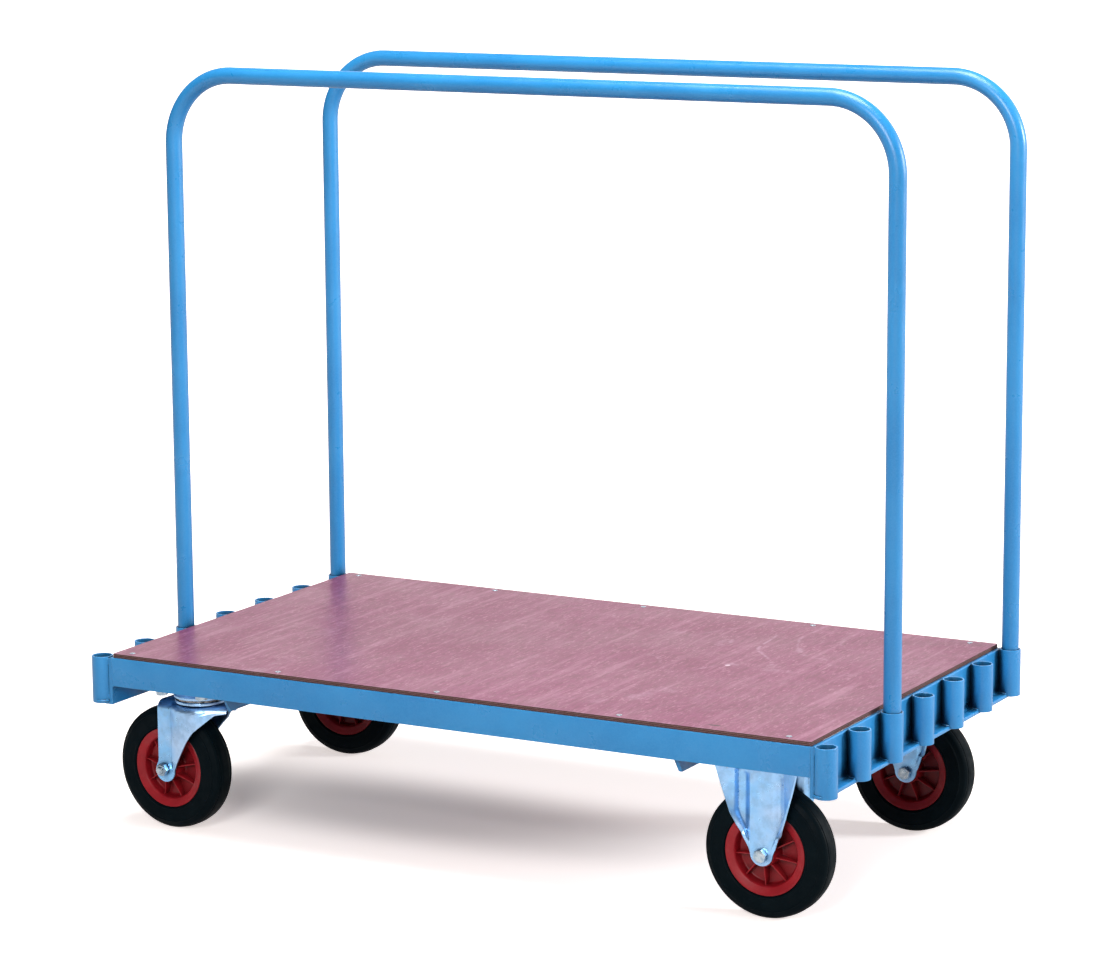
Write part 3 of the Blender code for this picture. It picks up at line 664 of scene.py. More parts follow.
CORNER_R, ROOT_R, TOE_R, SHARP_R = 0.0009, 0.0055, 0.0025, 0.0002
RAIL_WALL = 0.005
RAIL_LEG = RAIL_HIGH.y - RAIL_LOW.y
RAIL_EASE = 0.0003  # at the sawn ends
END_WALL = 0.006
END_FLANGE_X = 0.629
CROSS_WALL = 0.006
CROSS_SHOULDER_Z = 0.27
CROSS_FOOT_Y = 0.307

SOCKET_R, SOCKET_BORE_R = 0.01685, 0.01425
SOCKET_LIP_R = 0.0007
SOCKET_SIDES = 56
SOCKET_X = END_HIGH.x - SOCKET_R
SOCKET_COUNT = 7
SOCKET_PITCH = 2 * (END_HIGH.y - SOCKET_R) / (SOCKET_COUNT - 1)
SOCKET_BOTTOM = FRAME_BOTTOM + 0.002

# Weld beads
SOCKET_BEAD_R, SOCKET_BEAD_LIFT, SOCKET_BEAD_OUT = 0.0019, 0.0003, 0.0006
SOCKET_BEAD_ARC = (158, 84)
TACK_R, TACK_LENGTH, TACK_INSET = 0.0018, 0.012, 0.0005
TACK_X, TACK_Y = 0.0012, 0.0062  # from the upright leg, and from the socket's middle
SEAM_R, SEAM_OUT, SEAM_SUNK, SEAM_STOP = 0.0009, 0.0001, 0.0004, 0.0008
LOWER_BEAD_R, LOWER_BEAD_DROP = 0.0019, 0.0004
INNER_BEAD_R, INNER_BEAD_BACK, INNER_BEAD_STOP = 0.0028, 0.001, 0.006
CROSS_BEAD_R, CROSS_BEAD_STOP = 0.0024, 0.01


def angle_section(across, down, wall):
    """Rolled angle, its outer corner at (0, 0) and its legs along +x and +y."""
    return rounded([
        (0, 0, CORNER_R), (across, 0, CORNER_R), (across, wall, TOE_R),
        (wall, wall, ROOT_R), (wall, down, TOE_R), (0, down, SHARP_R),
    ])


def build_side_rail(name, side):
    section = angle_section(RAIL_LEG, RAIL_LEG, RAIL_WALL)
    end = RAIL_HIGH.x
    loops = []
    for x, step in ((-end, RAIL_EASE), (RAIL_EASE - end, 0), (end - RAIL_EASE, 0), (end, RAIL_EASE)):
        loops.append([(x, side * (RAIL_HIGH.y - u), FRAME_TOP - v) for u, v in inset(section, step)])
    add_piece(name + "_angle", loft(loops), "trolley", BLUE, name)


def build_end_rail(name, end_name, end):
    section = angle_section(END_FLANGE_X - END_FACE_X, FRAME_TOP - FRAME_BOTTOM, END_WALL)
    loops = []
    for y in (-RAIL_HIGH.y, RAIL_HIGH.y):
        loops.append([(end * (END_FACE_X + u), y, FRAME_BOTTOM + v) for u, v in section])
    add_piece(name + "_angle", loft(loops), "trolley", BLUE, name)
    for number in range(1, SOCKET_COUNT + 1):
        y = (number - (SOCKET_COUNT + 1) / 2) * SOCKET_PITCH
        tube = sleeve(SOCKET_R, SOCKET_BORE_R, SOCKET_BOTTOM, SOCKET_TOP, SOCKET_LIP_R, SOCKET_SIDES)
        add_piece(f"{end_name}_end_socket_{number}", tube, "trolley", BLUE, place=at(end * SOCKET_X, y, 0))
        add_piece(f"{end_name}_end_socket_weld_{number}", socket_weld(end, y), "trolley", BLUE)


def socket_weld(end, y):
    """Fillets where a socket stands on the flange, and its tacks to the upright leg."""
    shelf = FRAME_BOTTOM + END_WALL
    tack_x = end * (END_FACE_X + END_WALL + TACK_X)
    tacks = (FRAME_TOP - TACK_INSET, FRAME_TOP - TACK_LENGTH), (shelf + TACK_LENGTH, shelf)
    middle = (end * SOCKET_X, y, shelf + SOCKET_BEAD_LIFT)
    beads = []
    for side in (-1, 1):
        arc = [side * angle if end > 0 else 180 - side * angle for angle in SOCKET_BEAD_ARC]
        beads.append(bead(arc_path(middle, SOCKET_R + SOCKET_BEAD_OUT, *arc), SOCKET_BEAD_R))
        tack_y = y + side * TACK_Y
        for high, low in tacks:
            beads.append(bead(line((tack_x, tack_y, high), (tack_x, tack_y, low)), TACK_R))
    return merged(*beads)


def build_cross_member(name, end):
    """Angle, its upright leg towards the trolley's end and its own ends cut on a slope."""
    low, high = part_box(name)
    outer_x = high.x if end > 0 else low.x
    loops = []
    for side in (-1, 1):
        loop = []
        for u, v in angle_section(high.x - low.x, high.z - low.z, CROSS_WALL):
            z = high.z - v
            reach = between([(FRAME_BOTTOM, CROSS_FOOT_Y), (CROSS_SHOULDER_Z, high.y)], z)
            loop.append((outer_x - end * u, side * reach, z))
        loops.append(loop)
    add_piece(name + "_angle", loft(loops), "trolley", BLUE, name)


def corner_weld(side, end, cross_x):
    """Beads where a side rail meets an end rail and a cross member."""
    x = end * (RAIL_HIGH.x + SEAM_OUT)
    inner_x = x - end * INNER_BEAD_BACK
    top, bottom = FRAME_TOP, FRAME_TOP - RAIL_LEG
    lower = bottom - LOWER_BEAD_DROP
    outer_y, inner_y = side * (RAIL_HIGH.y - SEAM_SUNK), side * (RAIL_HIGH.y - RAIL_WALL)
    cross_top = top - CROSS_BEAD_STOP
    return merged(
        bead(line((x, outer_y, bottom), (x, outer_y, top - SEAM_STOP)), SEAM_R),
        bead(line((x, inner_y, lower), (x, outer_y, lower)), LOWER_BEAD_R),
        bead(line((inner_x, inner_y, bottom), (inner_x, inner_y, top - INNER_BEAD_STOP)), INNER_BEAD_R),
        bead(line((cross_x, inner_y, cross_top), (cross_x, inner_y, CROSS_SHOULDER_Z)), CROSS_BEAD_R),
    )


def build_frame():
    for side_name, side in SIDES.items():
        build_side_rail(f"side_rail_{side_name}", side)
    for end_name, end in ENDS.items():
        build_end_rail(f"end_rail_{end_name}", end_name, end)
        build_cross_member(f"cross_member_{end_name}", end)
    for side_name, side in SIDES.items():
        for end_name, end in ENDS.items():
            materials = frame["nodes"][f"caster_pad_{end_name}_{side_name}"].data.materials
            materials.clear()
            materials.append(BLUE[0])
            low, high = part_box(f"cross_member_{end_name}")
            weld = corner_weld(side, end, high.x if end > 0 else low.x)
            add_piece(f"{end_name}_{side_name}_corner_weld", weld, "trolley", BLUE)


# ----- Hoops

HOOP_R = (HOOP_HIGH.y - HOOP_LOW.y) / 2
HOOP_BORE_R = HOOP_R - 0.002
HOOP_BEND_R = 0.11
HOOP_SIDES = 40
HOOP_BEND_STEPS = 24
HOOP_BEND_OVAL = 0.035  # how much the tube flattens in its bends


def build_hoop(name):
    low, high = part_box(name)
    reach, foot = high.x - HOOP_R, low.z
    centre_x, centre_z = reach - HOOP_BEND_R, high.z - HOOP_R - HOOP_BEND_R
    stations = [(reach, z, 0, 0) for z in (foot, foot + 0.001, centre_z - 0.01)]
    for part in spaced(0, 1, HOOP_BEND_STEPS):
        turn = part * math.pi / 2
        x = centre_x + HOOP_BEND_R * math.cos(turn)
        z = centre_z + HOOP_BEND_R * math.sin(turn)
        stations.append((x, z, turn, HOOP_BEND_OVAL * math.sin(math.pi * part)))
    stations += [(-x, z, math.pi - turn, oval) for x, z, turn, oval in reversed(stations)]
    loops = [tube_loop(HOOP_R, *station) for station in stations]
    loops += [tube_loop(HOOP_BORE_R, *station) for station in reversed(stations)]
    place = at(0, (low.y + high.y) / 2, 0)
    add_piece(name + "_tube", loft(loops, closed=True), name, BLUE, name, place=place)


def tube_loop(radius, x, z, turn, oval):
    """A ring of the tube's wall. turn is its direction from the bend's middle, oval its flattening."""
    out = Vector((math.cos(turn), 0, math.sin(turn)))
    loop = []
    for across, along_y, _ in circle(radius, 0, HOOP_SIDES):
        loop.append(Vector((x, along_y * (1 + oval / 2), z)) + out * across * (1 - oval))
    return loop


# ----- Wheels, drawn along local Z

WHEEL_SIDES = 120
WHEEL_ARC_STEPS = 3
RIM_R = 0.0642
HUB_HALF = 0.028
# Half sections: (radius, distance from the middle plane, corner radius)
TYRE_SECTION = (
    (0.0644, 0.0195, 0.0008), (0.0658, 0.0228, 0.0008), (0.068, 0.0236, 0.0006),
    (0.0687, 0.0229, 0.0003), (0.077, 0.0234, 0.004), (0.0868, 0.0226, 0.003),
    (0.0873, 0.0231, 0.0002), (0.0883, 0.0229, 0.0002), (0.0888, 0.022, 0.0003),
    (0.0955, 0.019, 0.006), (0.0986, 0.0148, 0.003), (0.0988, 0.0128, 0.0002),
    (0.0978, 0.0124, 0.0002), (0.0978, 0.0113, 0.0002), (0.0992, 0.0109, 0.0003),
    (0.1, 0.006, 0.004),
)
RIM_SECTION = (
    (0.0103, HUB_HALF, 0.0006), (0.0182, HUB_HALF, 0.0008), (0.0208, 0.0034, 0.003),
    (0.0478, 0.003, 0.003), (0.0505, 0.0158, 0.0012), (0.052, 0.0178, 0.0012),
    (0.0606, 0.0206, 0.002), (RIM_R, 0.0217, 0.0012),
)
RIB_COUNT = 9
RIB_TURNS = {"fixed_front": -12, "swivel_front": -28, "fixed_back": 5, "swivel_back": 14}
RIB_EDGE = ((0.0175, 0.0225), (0.024, 0.0205), (0.044, 0.014), (0.0515, 0.0132))
RIB_START, RIB_FOOT, RIB_TIP, RIB_ROUND = 0.001, 0.0019, 0.0011, 0.0008
BEARING_R, BEARING_BORE_R, BEARING_EDGE, BEARING_SIDES = 0.0099, 0.0064, 0.0004, 48


def joint_place(joint):
    """The wheel's frame, at its middle: +x ahead, +y along the axle and +z up."""
    axis = Vector(joint["axis"]).normalized()
    up = Vector((0, 0, 1))
    turn = Matrix((axis.cross(up), axis, up)).transposed().to_4x4()
    return at(*joint["pos_m"]) @ turn


def wheel_ring(half):
    """A ring turned from a half section and its mirror image."""
    section = [*half, *((radius, -height, corner) for radius, height, corner in reversed(half))]
    return turned_ring(section, WHEEL_SIDES, WHEEL_ARC_STEPS)


def rim_shape():
    """Moulded centre: hub, web, drafted rim wall and rolled lip, with ribs on both sides."""
    shapes = [wheel_ring(RIM_SECTION)]
    for side in (-1, 1):
        for number in range(RIB_COUNT):
            shapes.append(moved(rib_shape(side), turned("Z", 2 * math.pi * number / RIB_COUNT)))
    return merged(*shapes)


def rib_shape(side):
    """A rib from the hub to the rim wall, thinner at its edge than at the web."""
    loops = []
    for x, edge in RIB_EDGE:
        half = [(RIB_FOOT, RIB_START), (RIB_TIP, edge - RIB_ROUND), (RIB_TIP * 0.6, edge)]
        section = [(-y, z) for y, z in half] + half[::-1]
        loops.append([(x, y, side * z) for y, z in section])
    return loft(loops)


def build_wheel(name, joint):
    place = joint_place(joint) @ turned("X", math.pi / 2)
    body = joint["child"]
    add_piece(f"{name}_rubber_tyre", wheel_ring(TYRE_SECTION), body, RUBBER, f"{name}_tyre", place=place)
    rim = moved(rim_shape(), turned("Z", math.radians(RIB_TURNS[name])))
    add_piece(f"{name}_ribbed_centre", rim, body, RED, f"{name}_wheel_rim", place=place)
    bearing = sleeve(BEARING_R, BEARING_BORE_R, -HUB_HALF, HUB_HALF, BEARING_EDGE, BEARING_SIDES)
    add_piece(f"{name}_bearing_sleeve", bearing, body, BEARING, f"{name}_roller_bearing", place=place)


# ----- Bolts

AXLE_R = 0.006
AXLE_SHANK_R = AXLE_R - 0.0002
AXLE_HEAD, AXLE_NUT, AXLE_END = 0.0075, 0.01, 0.0035
AXLE_FLATS, AXLE_PITCH = 0.018, 0.00175
AXLE_HEAD_TURN = 0.3
NUT_HEXAGON, COLLAR_FOOT = 0.78, 0.7  # shares of the nut's height
COLLAR_R, COLLAR_SIDES = 0.0086, 48

PLATE = 0.005
PLATE_BOTTOM = PLATE_TOP - PLATE
PLATE_CORNER_R, PLATE_EASE = 0.01, 0.0007
PLATE_FLATS, PLATE_BOLT_R, PLATE_BOLT_PITCH = 0.0165, 0.00485, 0.0015
PLATE_BOLT_TURN = 0.9  # from each bolt to the next
# (radius, distance under the plate) of the washer
BOLT_WASHER = ((0.0088, 0.0025), (0.0105, 0.0013), (0.0108, 0.0007), (0.0106, 0.0001))
BOLT_HEAD_GAP = 0.0011

PANEL_RAISE = 0.001  # of the flat round the axle on a cheek
CHEEK = 0.003
CHEEK_OUTER = NUT_Y - WHEEL_Y - 0.0003


def build_axle(name, joint, body, head_side):
    """Bolt and nut, modelled along local Z with the bolt's head at the bottom."""
    place = joint_place(joint) @ turned("X", head_side * math.pi / 2)
    seat = CHEEK_OUTER + PANEL_RAISE + 0.0001
    head = hexagon_block(AXLE_FLATS, 0, AXLE_HEAD)
    moved(head, at(0, 0, -seat) @ UPSIDE_DOWN @ turned("Z", AXLE_HEAD_TURN))
    shank = turned_solid([(AXLE_SHANK_R, -seat - 0.001), (AXLE_SHANK_R, seat)], 32)
    top = seat + AXLE_NUT
    thread = threaded_rod(AXLE_SHANK_R, seat - 0.001, top + AXLE_END, AXLE_PITCH)
    bolt = merged(head, shank, thread)
    add_piece(f"{name}_axle_hex_bolt", bolt, body, BRIGHT, f"{name}_axle_bolt", place=place)
    foot = seat + AXLE_NUT * COLLAR_FOOT
    collar = turned_ring([
        (COLLAR_R, top, 0.0008), (COLLAR_R + 0.0002, foot, 0), (AXLE_R, foot, 0), (AXLE_R, top, 0.0004),
    ], COLLAR_SIDES)
    hexagon = hexagon_block(AXLE_FLATS, seat, seat + AXLE_NUT * NUT_HEXAGON, chamfer_bottom=True)
    nut = merged(hexagon, collar)
    add_piece(f"{name}_axle_lock_nut", nut, body, BRIGHT, f"{name}_axle_nut", place=place)


def build_plate_bolts(name):
    for number in range(1, 5):
        node = f"{name}_plate_bolt_{number}"
        low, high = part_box(node)
        seat = PLATE_BOTTOM - BOLT_HEAD_GAP
        head = hexagon_block(PLATE_FLATS, 0, seat - low.z)
        moved(head, turned("Z", number * PLATE_BOLT_TURN) @ at(0, 0, seat) @ UPSIDE_DOWN)
        washer = turned_solid([(radius, PLATE_BOTTOM - down) for radius, down in BOLT_WASHER], 48)
        thread = threaded_rod(PLATE_BOLT_R, PLATE_TOP - 0.001, high.z, PLATE_BOLT_PITCH)
        shank_r = PLATE_BOLT_R - 0.00005
        shank = turned_solid([(shank_r, PLATE_BOTTOM - 0.0006), (shank_r, PLATE_TOP)], 24)
        middle = (low + high) / 2
        bolt = merged(head, washer, shank, thread)
        add_piece(f"{node}_flanged", bolt, "trolley", BRIGHT, node, place=at(middle.x, middle.y, 0))


def caster_plate(node, lower=0):
    """A caster's top plate, as far below its place in the trolley as asked for."""
    low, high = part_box(node)
    outline = rounded_rectangle(high.x - low.x, high.y - low.y, PLATE_CORNER_R)
    return plate(outline, PLATE_BOTTOM - lower, PLATE_TOP - lower, PLATE_EASE)


# ----- Fixed casters. Cheeks are in the wheel's frame: x ahead of the axle, z above it

PANEL_HALF, PANEL_STEP_RUN = 0.0185, 0.002
WING_FROM, WING_STEP_RUN = 0.037, 0.0022
EDGE_LIP = 0.0045
FLUTE_MIDDLE, FLUTE_HALF, FLUTE_DEPTH = 0.0278, 0.0088, 0.0034
FLUTE_FOOT, FLUTE_HEAD = 0.036, 0.117
BRACKET_END_R = 0.018
BRACKET_END_STEPS, BRACKET_STEPS, BRACKET_COLUMNS = 10, 56, 72
SLIVER = 0.0006  # half width of a cheek at its very end
# (height above the axle, half width, or how far the wings' edges and their steps stand out)
BRACKET_HALF = ((0.002, 0.018), (0.025, 0.0278), (0.059, 0.0414), (0.101, 0.0555), (0.132, 0.0645))
BRACKET_FLARE = (
    (0.01, 0), (0.025, 0.004), (0.044, 0.0105), (0.059, 0.0148), (0.08, 0.0175), (0.14, 0.0235),
)
BRACKET_STEP = ((0.01, 0), (0.03, 0.004), (0.06, 0.0062), (0.14, 0.0075))


def bracket_surface(x, z, half):
    """Distance of the cheek's outer face from the wheel's middle plane, where it is half wide."""
    away = abs(x)
    raised = PANEL_RAISE * (1 - smooth_step((away - PANEL_HALF) / PANEL_STEP_RUN))
    wing_from = min(WING_FROM, half - EDGE_LIP - WING_STEP_RUN)
    step, flare = between(BRACKET_STEP, z), between(BRACKET_FLARE, z)
    wing = step * smooth_step((away - wing_from) / WING_STEP_RUN)
    wing += (flare - step) * max(away - wing_from, 0) / (half - wing_from)
    from_spine = math.hypot(away - FLUTE_MIDDLE, z - min(max(z, FLUTE_FOOT), FLUTE_HEAD))
    hollow = smooth_step(1 - from_spine / FLUTE_HALF)
    return CHEEK_OUTER + raised + wing - FLUTE_DEPTH * hollow


def round_end(centre_z, radius, steps):
    """(height, half width) of a cheek's round lower end."""
    turns = spaced(0, math.pi / 2, steps)[:-1]
    return [(centre_z - radius * math.cos(turn), max(radius * math.sin(turn), SLIVER)) for turn in turns]


def bracket_cheek(side):
    """One pressed cheek, from its round lower end up to the plate."""
    end_z = BRACKET_HALF[0][0]
    top = PLATE_BOTTOM - WHEEL_R + 0.001
    levels = round_end(end_z, BRACKET_END_R, BRACKET_END_STEPS)
    levels += [(z, between(BRACKET_HALF, z)) for z in spaced(end_z, top, BRACKET_STEPS)]
    rows = []
    for z, half in levels:
        spots = [half * share for share in spaced(-side, side, BRACKET_COLUMNS)]
        rows.append([(-x, side * bracket_surface(x, z, half), z) for x in spots])
    return sheet_shape(rows, CHEEK)


def build_fixed_caster(side_name):
    name = f"fixed_{side_name}"
    joint = JOINTS[f"{name}_wheel_spin"]
    node = f"{name}_bracket"
    bracket = merged(caster_plate(node, lower=WHEEL_R), bracket_cheek(-1), bracket_cheek(1))
    add_piece(f"{name}_pressed_bracket", bracket, "trolley", ZINC, node, place=joint_place(joint))
    build_wheel(name, joint)
    build_axle(name, joint, "trolley", -1)
    build_plate_bolts(name)


# ----- Swivel casters

CROWN_TOP = FORK_TOP - 0.005
CROWN_HEIGHT = CROWN_TOP - WHEEL_R  # above the axle
CROWN_BEND_R = 0.014
CROWN_NOSE = 0.004  # how far the crown bulges forward in the middle
FORK_END_X, FORK_END_Z, FORK_END_R = 0.002, -0.002, 0.0185
STRIP_BACK, STRIP_FRONT, STRIP_STEP, STRIP_STEP_RUN = -0.011, 0.015, 0.0022, 0.003
FORK_STEP_RISE, FORK_LEAN_HEIGHT, FORK_NECK = 0.016, 0.095, 0.018
FORK_END_STEPS, FORK_CHEEK_STEPS, FORK_BEND_STEPS, CROWN_STEPS, FORK_COLUMNS = 8, 44, 8, 10, 64
# (height above the axle, front edge's distance ahead of it)
FORK_EDGE = (
    (0, 0.0205), (0.014, 0.028), (0.03, 0.037), (0.051, 0.05), (0.068, 0.064), (0.081, 0.079),
    (0.09, 0.088), (0.099, 0.0985), (0.1115, 0.112),
)
# (distance ahead of the axle, how much further out than the cheek the crown is there)
CROWN_HALF = (
    (0.018, 0), (0.03, 0.0065), (0.04, 0.0085), (0.062, 0.0085), (0.07, 0.0065),
    (0.078, 0.003), (0.086, -0.0035), (0.1, -0.0115), (0.112, -0.0195),
)

HEAD_BORE_R, CUP_SIDES = 0.03, 96
# (radius, height above the cup's lip, corner radius), between two points at the plate
CUP_OUTSIDE_R = 0.0345
CUP_SECTION = (
    (0.0352, 0.014, 0.002), (0.0385, 0.008, 0.003), (0.0425, 0.004, 0.002), (0.0425, 0, 0.0008),
    (0.0402, 0, 0.0004), (0.0398, 0.002, 0.001), (HEAD_BORE_R, 0.0026, 0.002),
)
RACE_R, RACE_BORE_R, RACE_LIFT = 0.0415, 0.029, 0.0004
CAGE_R, CAGE_BORE_R, CAGE_GAP, CAGE_SIDES = 0.0385, 0.0302, 0.0004, 72
BALL_RING_R, BALL_R, BALL_COUNT = 0.035, 0.0016, 34
KINGPIN_FLATS, KINGPIN_WASHER_R = 0.0175, 0.0105


def fork_surface(x, z):
    """Distance of the cheek's outer face from the wheel's middle plane."""
    step = STRIP_STEP * smooth_step((x - STRIP_FRONT) / STRIP_STEP_RUN) * smooth_step(z / FORK_STEP_RISE)
    return CHEEK_OUTER + step + between(CROWN_HALF, x) * smooth_step(z / FORK_LEAN_HEIGHT)


def fork_cheek_rows():
    """The cheek, from its round lower end to where it bends in."""
    levels = []
    for z, half in round_end(FORK_END_Z, FORK_END_R, FORK_END_STEPS):
        levels.append((z, FORK_END_X - half, FORK_END_X + half))
    for z in spaced(FORK_END_Z, CROWN_HEIGHT - CROWN_BEND_R, FORK_CHEEK_STEPS):
        blend = smooth_step((z - FORK_END_Z) / FORK_NECK)
        back = (FORK_END_X - FORK_END_R) * (1 - blend) + STRIP_BACK * blend
        levels.append((z, back, between(FORK_EDGE, max(z, 0))))
    rows = []
    for z, back, front in levels:
        rows.append([(x, fork_surface(x, z), z) for x in spaced(back, front, FORK_COLUMNS)])
    return rows


def fork_shape():
    """The whole fork as one pressed sheet: a cheek, the crown and the other cheek."""
    rows = fork_cheek_rows()
    front = between(FORK_EDGE, CROWN_HEIGHT)
    for turn in spaced(0, math.pi / 2, FORK_BEND_STEPS)[1:]:
        inward = CROWN_BEND_R * (1 - math.cos(turn))
        z = CROWN_HEIGHT - CROWN_BEND_R * (1 - math.sin(turn))
        spots = spaced(STRIP_BACK, front, FORK_COLUMNS)
        rows.append([(x, fork_surface(x, CROWN_HEIGHT) - inward, z) for x in spots])
    for share in spaced(1, 0, CROWN_STEPS)[1:]:
        spots = spaced(STRIP_BACK, front + CROWN_NOSE * (1 - share * share), FORK_COLUMNS)
        row = [(x, (fork_surface(x, CROWN_HEIGHT) - CROWN_BEND_R) * share, CROWN_HEIGHT) for x in spots]
        rows.append(row)
    mirrored = [[(x, -y, z) for x, y, z in row] for row in rows]
    return sheet_shape(mirrored + rows[-2::-1], CHEEK)


def build_swivel_head(name, joint, body):
    """Top plate with its pressed cup over the balls, the lower race, balls and kingpin."""
    axis = at(*joint["pos_m"][:2], 0)
    node = f"{name}_top_plate"
    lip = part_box(node)[0].z
    cup = turned_ring([
        (CUP_OUTSIDE_R, PLATE_BOTTOM + 0.001, 0),
        *((radius, lip + height, corner) for radius, height, corner in CUP_SECTION),
        (HEAD_BORE_R, PLATE_BOTTOM + 0.001, 0),
    ], CUP_SIDES)
    add_piece(f"{name}_head_plate", merged(caster_plate(node), cup), "trolley", ZINC, node, place=axis)
    race_foot = CROWN_TOP + RACE_LIFT
    race = turned_ring([
        (RACE_R - 0.0009, FORK_TOP, 0.0012), (RACE_R - 0.0004, race_foot, 0.0006),
        (RACE_BORE_R, race_foot, 0), (RACE_BORE_R, FORK_TOP, 0.0006),
    ], CUP_SIDES)
    add_piece(f"{name}_lower_race", race, body, ZINC, place=axis)
    cage_top, cage_foot = lip - CAGE_GAP, FORK_TOP + CAGE_GAP
    cage = turned_ring([
        (CAGE_R, cage_top, 0.0004), (CAGE_R + 0.0003, cage_foot, 0.0004),
        (CAGE_BORE_R, cage_foot, 0.0004), (CAGE_BORE_R, cage_top, 0.0004),
    ], CAGE_SIDES)
    balls = merged(cage, ring_of_balls((FORK_TOP + lip) / 2))
    add_piece(f"{name}_ball_ring", balls, body, BEARING, f"{name}_ball_race", place=axis)
    build_kingpin(f"{name}_kingpin", axis)


def ring_of_balls(height):
    shapes = []
    for place in circle(BALL_RING_R, height, BALL_COUNT):
        ball = bmesh.new()
        bmesh.ops.create_uvsphere(ball, u_segments=10, v_segments=6, radius=BALL_R)
        shapes.append(moved(ball, at(*place)))
    return merged(*shapes)


def build_kingpin(node, axis):
    low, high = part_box(node)
    seat = CROWN_TOP - CHEEK - 0.0004
    nut = hexagon_block(KINGPIN_FLATS, low.z + 0.0012, seat - 0.0012)
    washer = sleeve(KINGPIN_WASHER_R, AXLE_R, seat - 0.0014, seat, 0.0004, 48)
    pin = turned_solid([
        (AXLE_R - 0.0012, low.z), (AXLE_R, low.z + 0.001), (AXLE_R, high.z - 0.0008),
        (AXLE_R - 0.0008, high.z),
    ], 32)
    add_piece(f"{node}_and_nut", merged(nut, washer, pin), "trolley", BRIGHT, node, place=axis)


def build_swivel_caster(side_name):
    name = f"swivel_{side_name}"
    swivel, spin = JOINTS[f"{name}_turn"], JOINTS[f"{name}_wheel_spin"]
    body = swivel["child"]
    build_swivel_head(name, swivel, body)
    add_piece(f"{name}_pressed_fork", fork_shape(), body, ZINC, f"{name}_fork", place=joint_place(spin))
    build_wheel(name, spin)
    build_axle(name, spin, body, 1)
    build_plate_bolts(name)


# ----- Studio

# How much the floor and the wall glow for the camera, so that only the deck's shadow shows; the glow dims
# to a painted shadow under the trolley
FLOOR_LIFT, WALL_LIFT, PAINTED_SHADOW_LIFT = 0.64, 1.2, 0.14
WALL_FROM, WALL_FULL = 1, 4  # distances from the trolley where the wall's lift starts and is full
REFLECTED_LIFT = 0.65  # how much of it glossy surfaces see
# Middle and half sizes of the painted shadow under the trolley, where the floor's glow is dimmed
PAINTED_SHADOW_MIDDLE = (-0.25, -0.02, 0)
PAINTED_SHADOW_REACH = (0.9, 0.3, 2)
WORLD_LIGHT, WORLD_SEEN = 0.15, 1.2
WORLD_COLOUR = (0.93, 0.96, 1, 1)

FLOOR_HALF, FLOOR_NEAR, FLOOR_FAR = 11, -9, 5
SWEEP_R, SWEEP_STEPS, WALL_TOP = 2.5, 12, 7

# name, place, target, size, watts and colour
SOFTBOXES = (
    ("overhead", (0.3, -0.6, 3.8), (0, 0, 0.3), (2, 1.6), 150, (1, 0.99, 0.97)),
    ("front", (1.5, -5.3, 2.8), (0, 0, 0.5), (1.5, 1.8), 190, (1, 0.98, 0.97)),
    ("right", (4.6, 1.9, 1.9), (0.5, 0, 0.5), (0.9, 1.4), 200, (0.95, 0.98, 1)),
)

CAMERA_PLACE = (2.706, -4.89, 1.5864)
CAMERA_AZIMUTH, CAMERA_DOWN, CAMERA_ROLL = 28.36, 10.43, -0.26
CAMERA_LENS = 118.4
CAMERA_SHIFT = (-0.0373, -0.0007)


def floor_look():
    look = Looks("studio_floor")
    ray = look.add("LightPath").outputs
    tone = look.spread(look.noise(0.8, 3), 0.3, 0.7)
    colour = look.mix(tone, (0.4, 0.395, 0.39), (0.44, 0.435, 0.43))
    colour = look.mix(ray["Is Camera Ray"], colour, (0.97, 0.94, 0.92))
    # Painted shadow: the glow dims in a spot under the trolley
    shadow = look.spread(look.spot(PAINTED_SHADOW_MIDDLE, PAINTED_SHADOW_REACH), 0, 1, FLOOR_LIFT, PAINTED_SHADOW_LIFT)
    away = look.vector("LENGTH", look.place)["Value"]
    lift = look.math("ADD", shadow, look.spread(away, WALL_FROM, WALL_FULL, 0, WALL_LIFT))
    reflected = look.math("MULTIPLY", ray["Is Glossy Ray"], REFLECTED_LIFT)
    seen = look.math("MULTIPLY", look.math("MAXIMUM", ray["Is Camera Ray"], reflected), lift)
    look.finish(Emission_Strength=seen, Emission_Color=(1, 0.91, 0.88))
    return look.finish(Base_Color=colour, Roughness=0.8, Specular_IOR_Level=0.2)


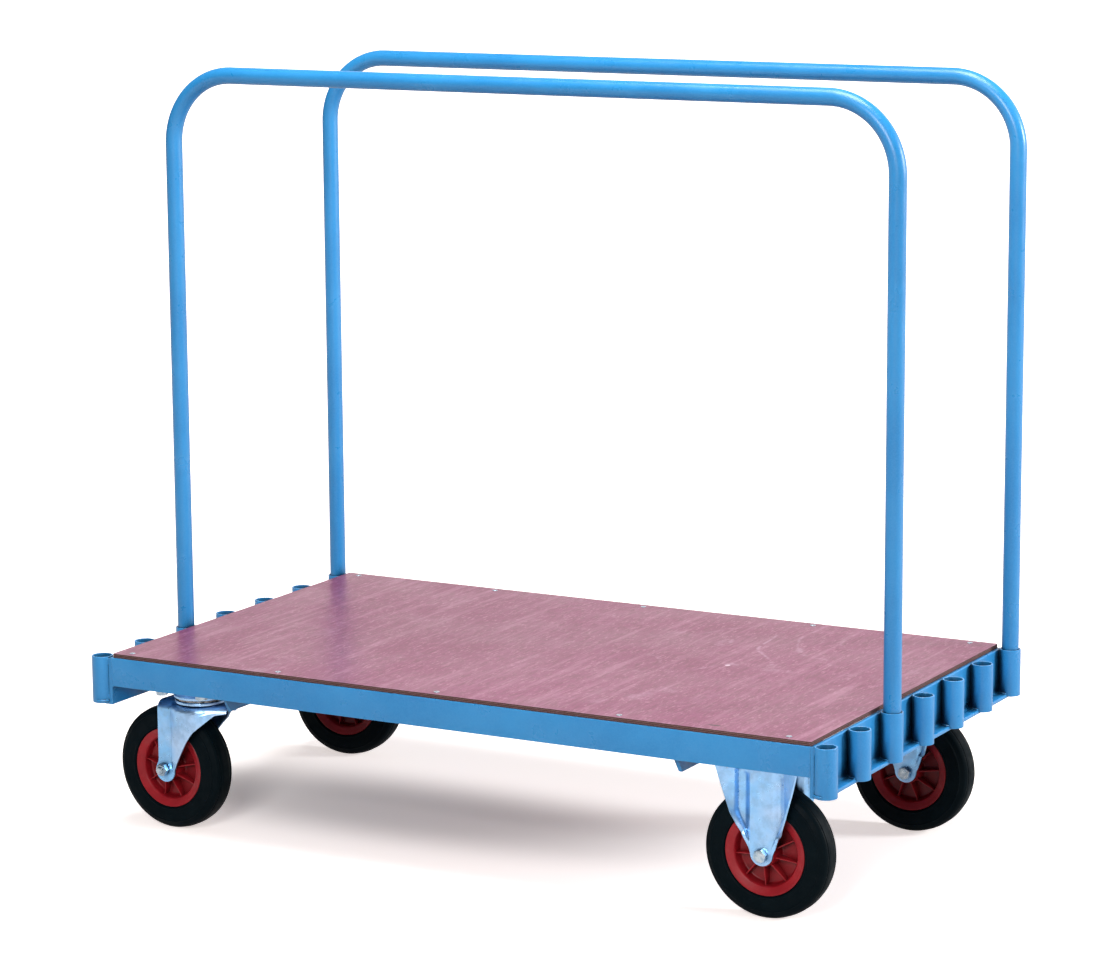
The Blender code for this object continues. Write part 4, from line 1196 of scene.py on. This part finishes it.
def build_backdrop():
    """A floor that sweeps up into a wall, far enough away to hold no shadow."""
    section = [(FLOOR_NEAR, 0), (FLOOR_FAR, 0)]
    for turn in spaced(0, math.pi / 2, SWEEP_STEPS)[1:]:
        section.append((FLOOR_FAR + SWEEP_R * math.sin(turn), SWEEP_R - SWEEP_R * math.cos(turn)))
    section.append((FLOOR_FAR + SWEEP_R, WALL_TOP))
    shape = bmesh.new()
    rows = []
    for x in (-FLOOR_HALF, FLOOR_HALF):
        rows.append([shape.verts.new((x, y, z + TYRE_LOW.z)) for y, z in section])
    left, right = rows
    for i in range(len(section) - 1):
        shape.faces.new((left[i], right[i], right[i + 1], left[i + 1]))
    mesh = as_mesh("studio_floor", shape)
    mesh.shade_smooth()
    mesh.materials.append(floor_look())
    add_object("studio_floor", mesh)


def add_softbox(name, place, target, size, power, colour):
    light = bpy.data.lights.new(name, "AREA")
    light.shape = "RECTANGLE"
    light.size, light.size_y = size
    light.energy = power
    light.color = colour
    lamp = add_object(name, light)
    lamp.location = place
    lamp.rotation_euler = (Vector(target) - Vector(place)).to_track_quat("-Z", "Y").to_euler()


def build_world():
    """A faint sky light, seen white by the camera."""
    world = bpy.data.worlds.new("studio")
    world.use_nodes = True
    nodes, links = world.node_tree.nodes, world.node_tree.links
    background = nodes["Background"]
    background.inputs["Color"].default_value = WORLD_COLOUR
    ray = nodes.new("ShaderNodeLightPath")
    strength = nodes.new("ShaderNodeMapRange")
    strength.inputs["To Min"].default_value = WORLD_LIGHT
    strength.inputs["To Max"].default_value = WORLD_SEEN
    links.new(ray.outputs["Is Camera Ray"], strength.inputs["Value"])
    links.new(strength.outputs["Result"], background.inputs["Strength"])
    bpy.context.scene.world = world


def build_camera():
    camera = bpy.data.cameras.new("camera")
    camera.lens = CAMERA_LENS
    camera.shift_x, camera.shift_y = CAMERA_SHIFT
    camera.clip_end = 60
    eye = add_object("camera", camera)
    turn = turned("Z", math.radians(CAMERA_AZIMUTH))
    tilt = turned("X", math.radians(90 - CAMERA_DOWN))
    roll = turned("Z", math.radians(CAMERA_ROLL))
    eye.matrix_world = at(*CAMERA_PLACE) @ turn @ tilt @ roll
    bpy.context.scene.camera = eye


# ----- The trolley

build_deck()
build_frame()
build_hoop("hoop_front")
build_hoop("hoop_back")
for side_name in SIDES:
    build_fixed_caster(side_name)
    build_swivel_caster(side_name)
build_backdrop()
build_world()
for softbox in SOFTBOXES:
    add_softbox(*softbox)
build_camera()
bpy.context.scene.view_settings.view_transform = "Standard"
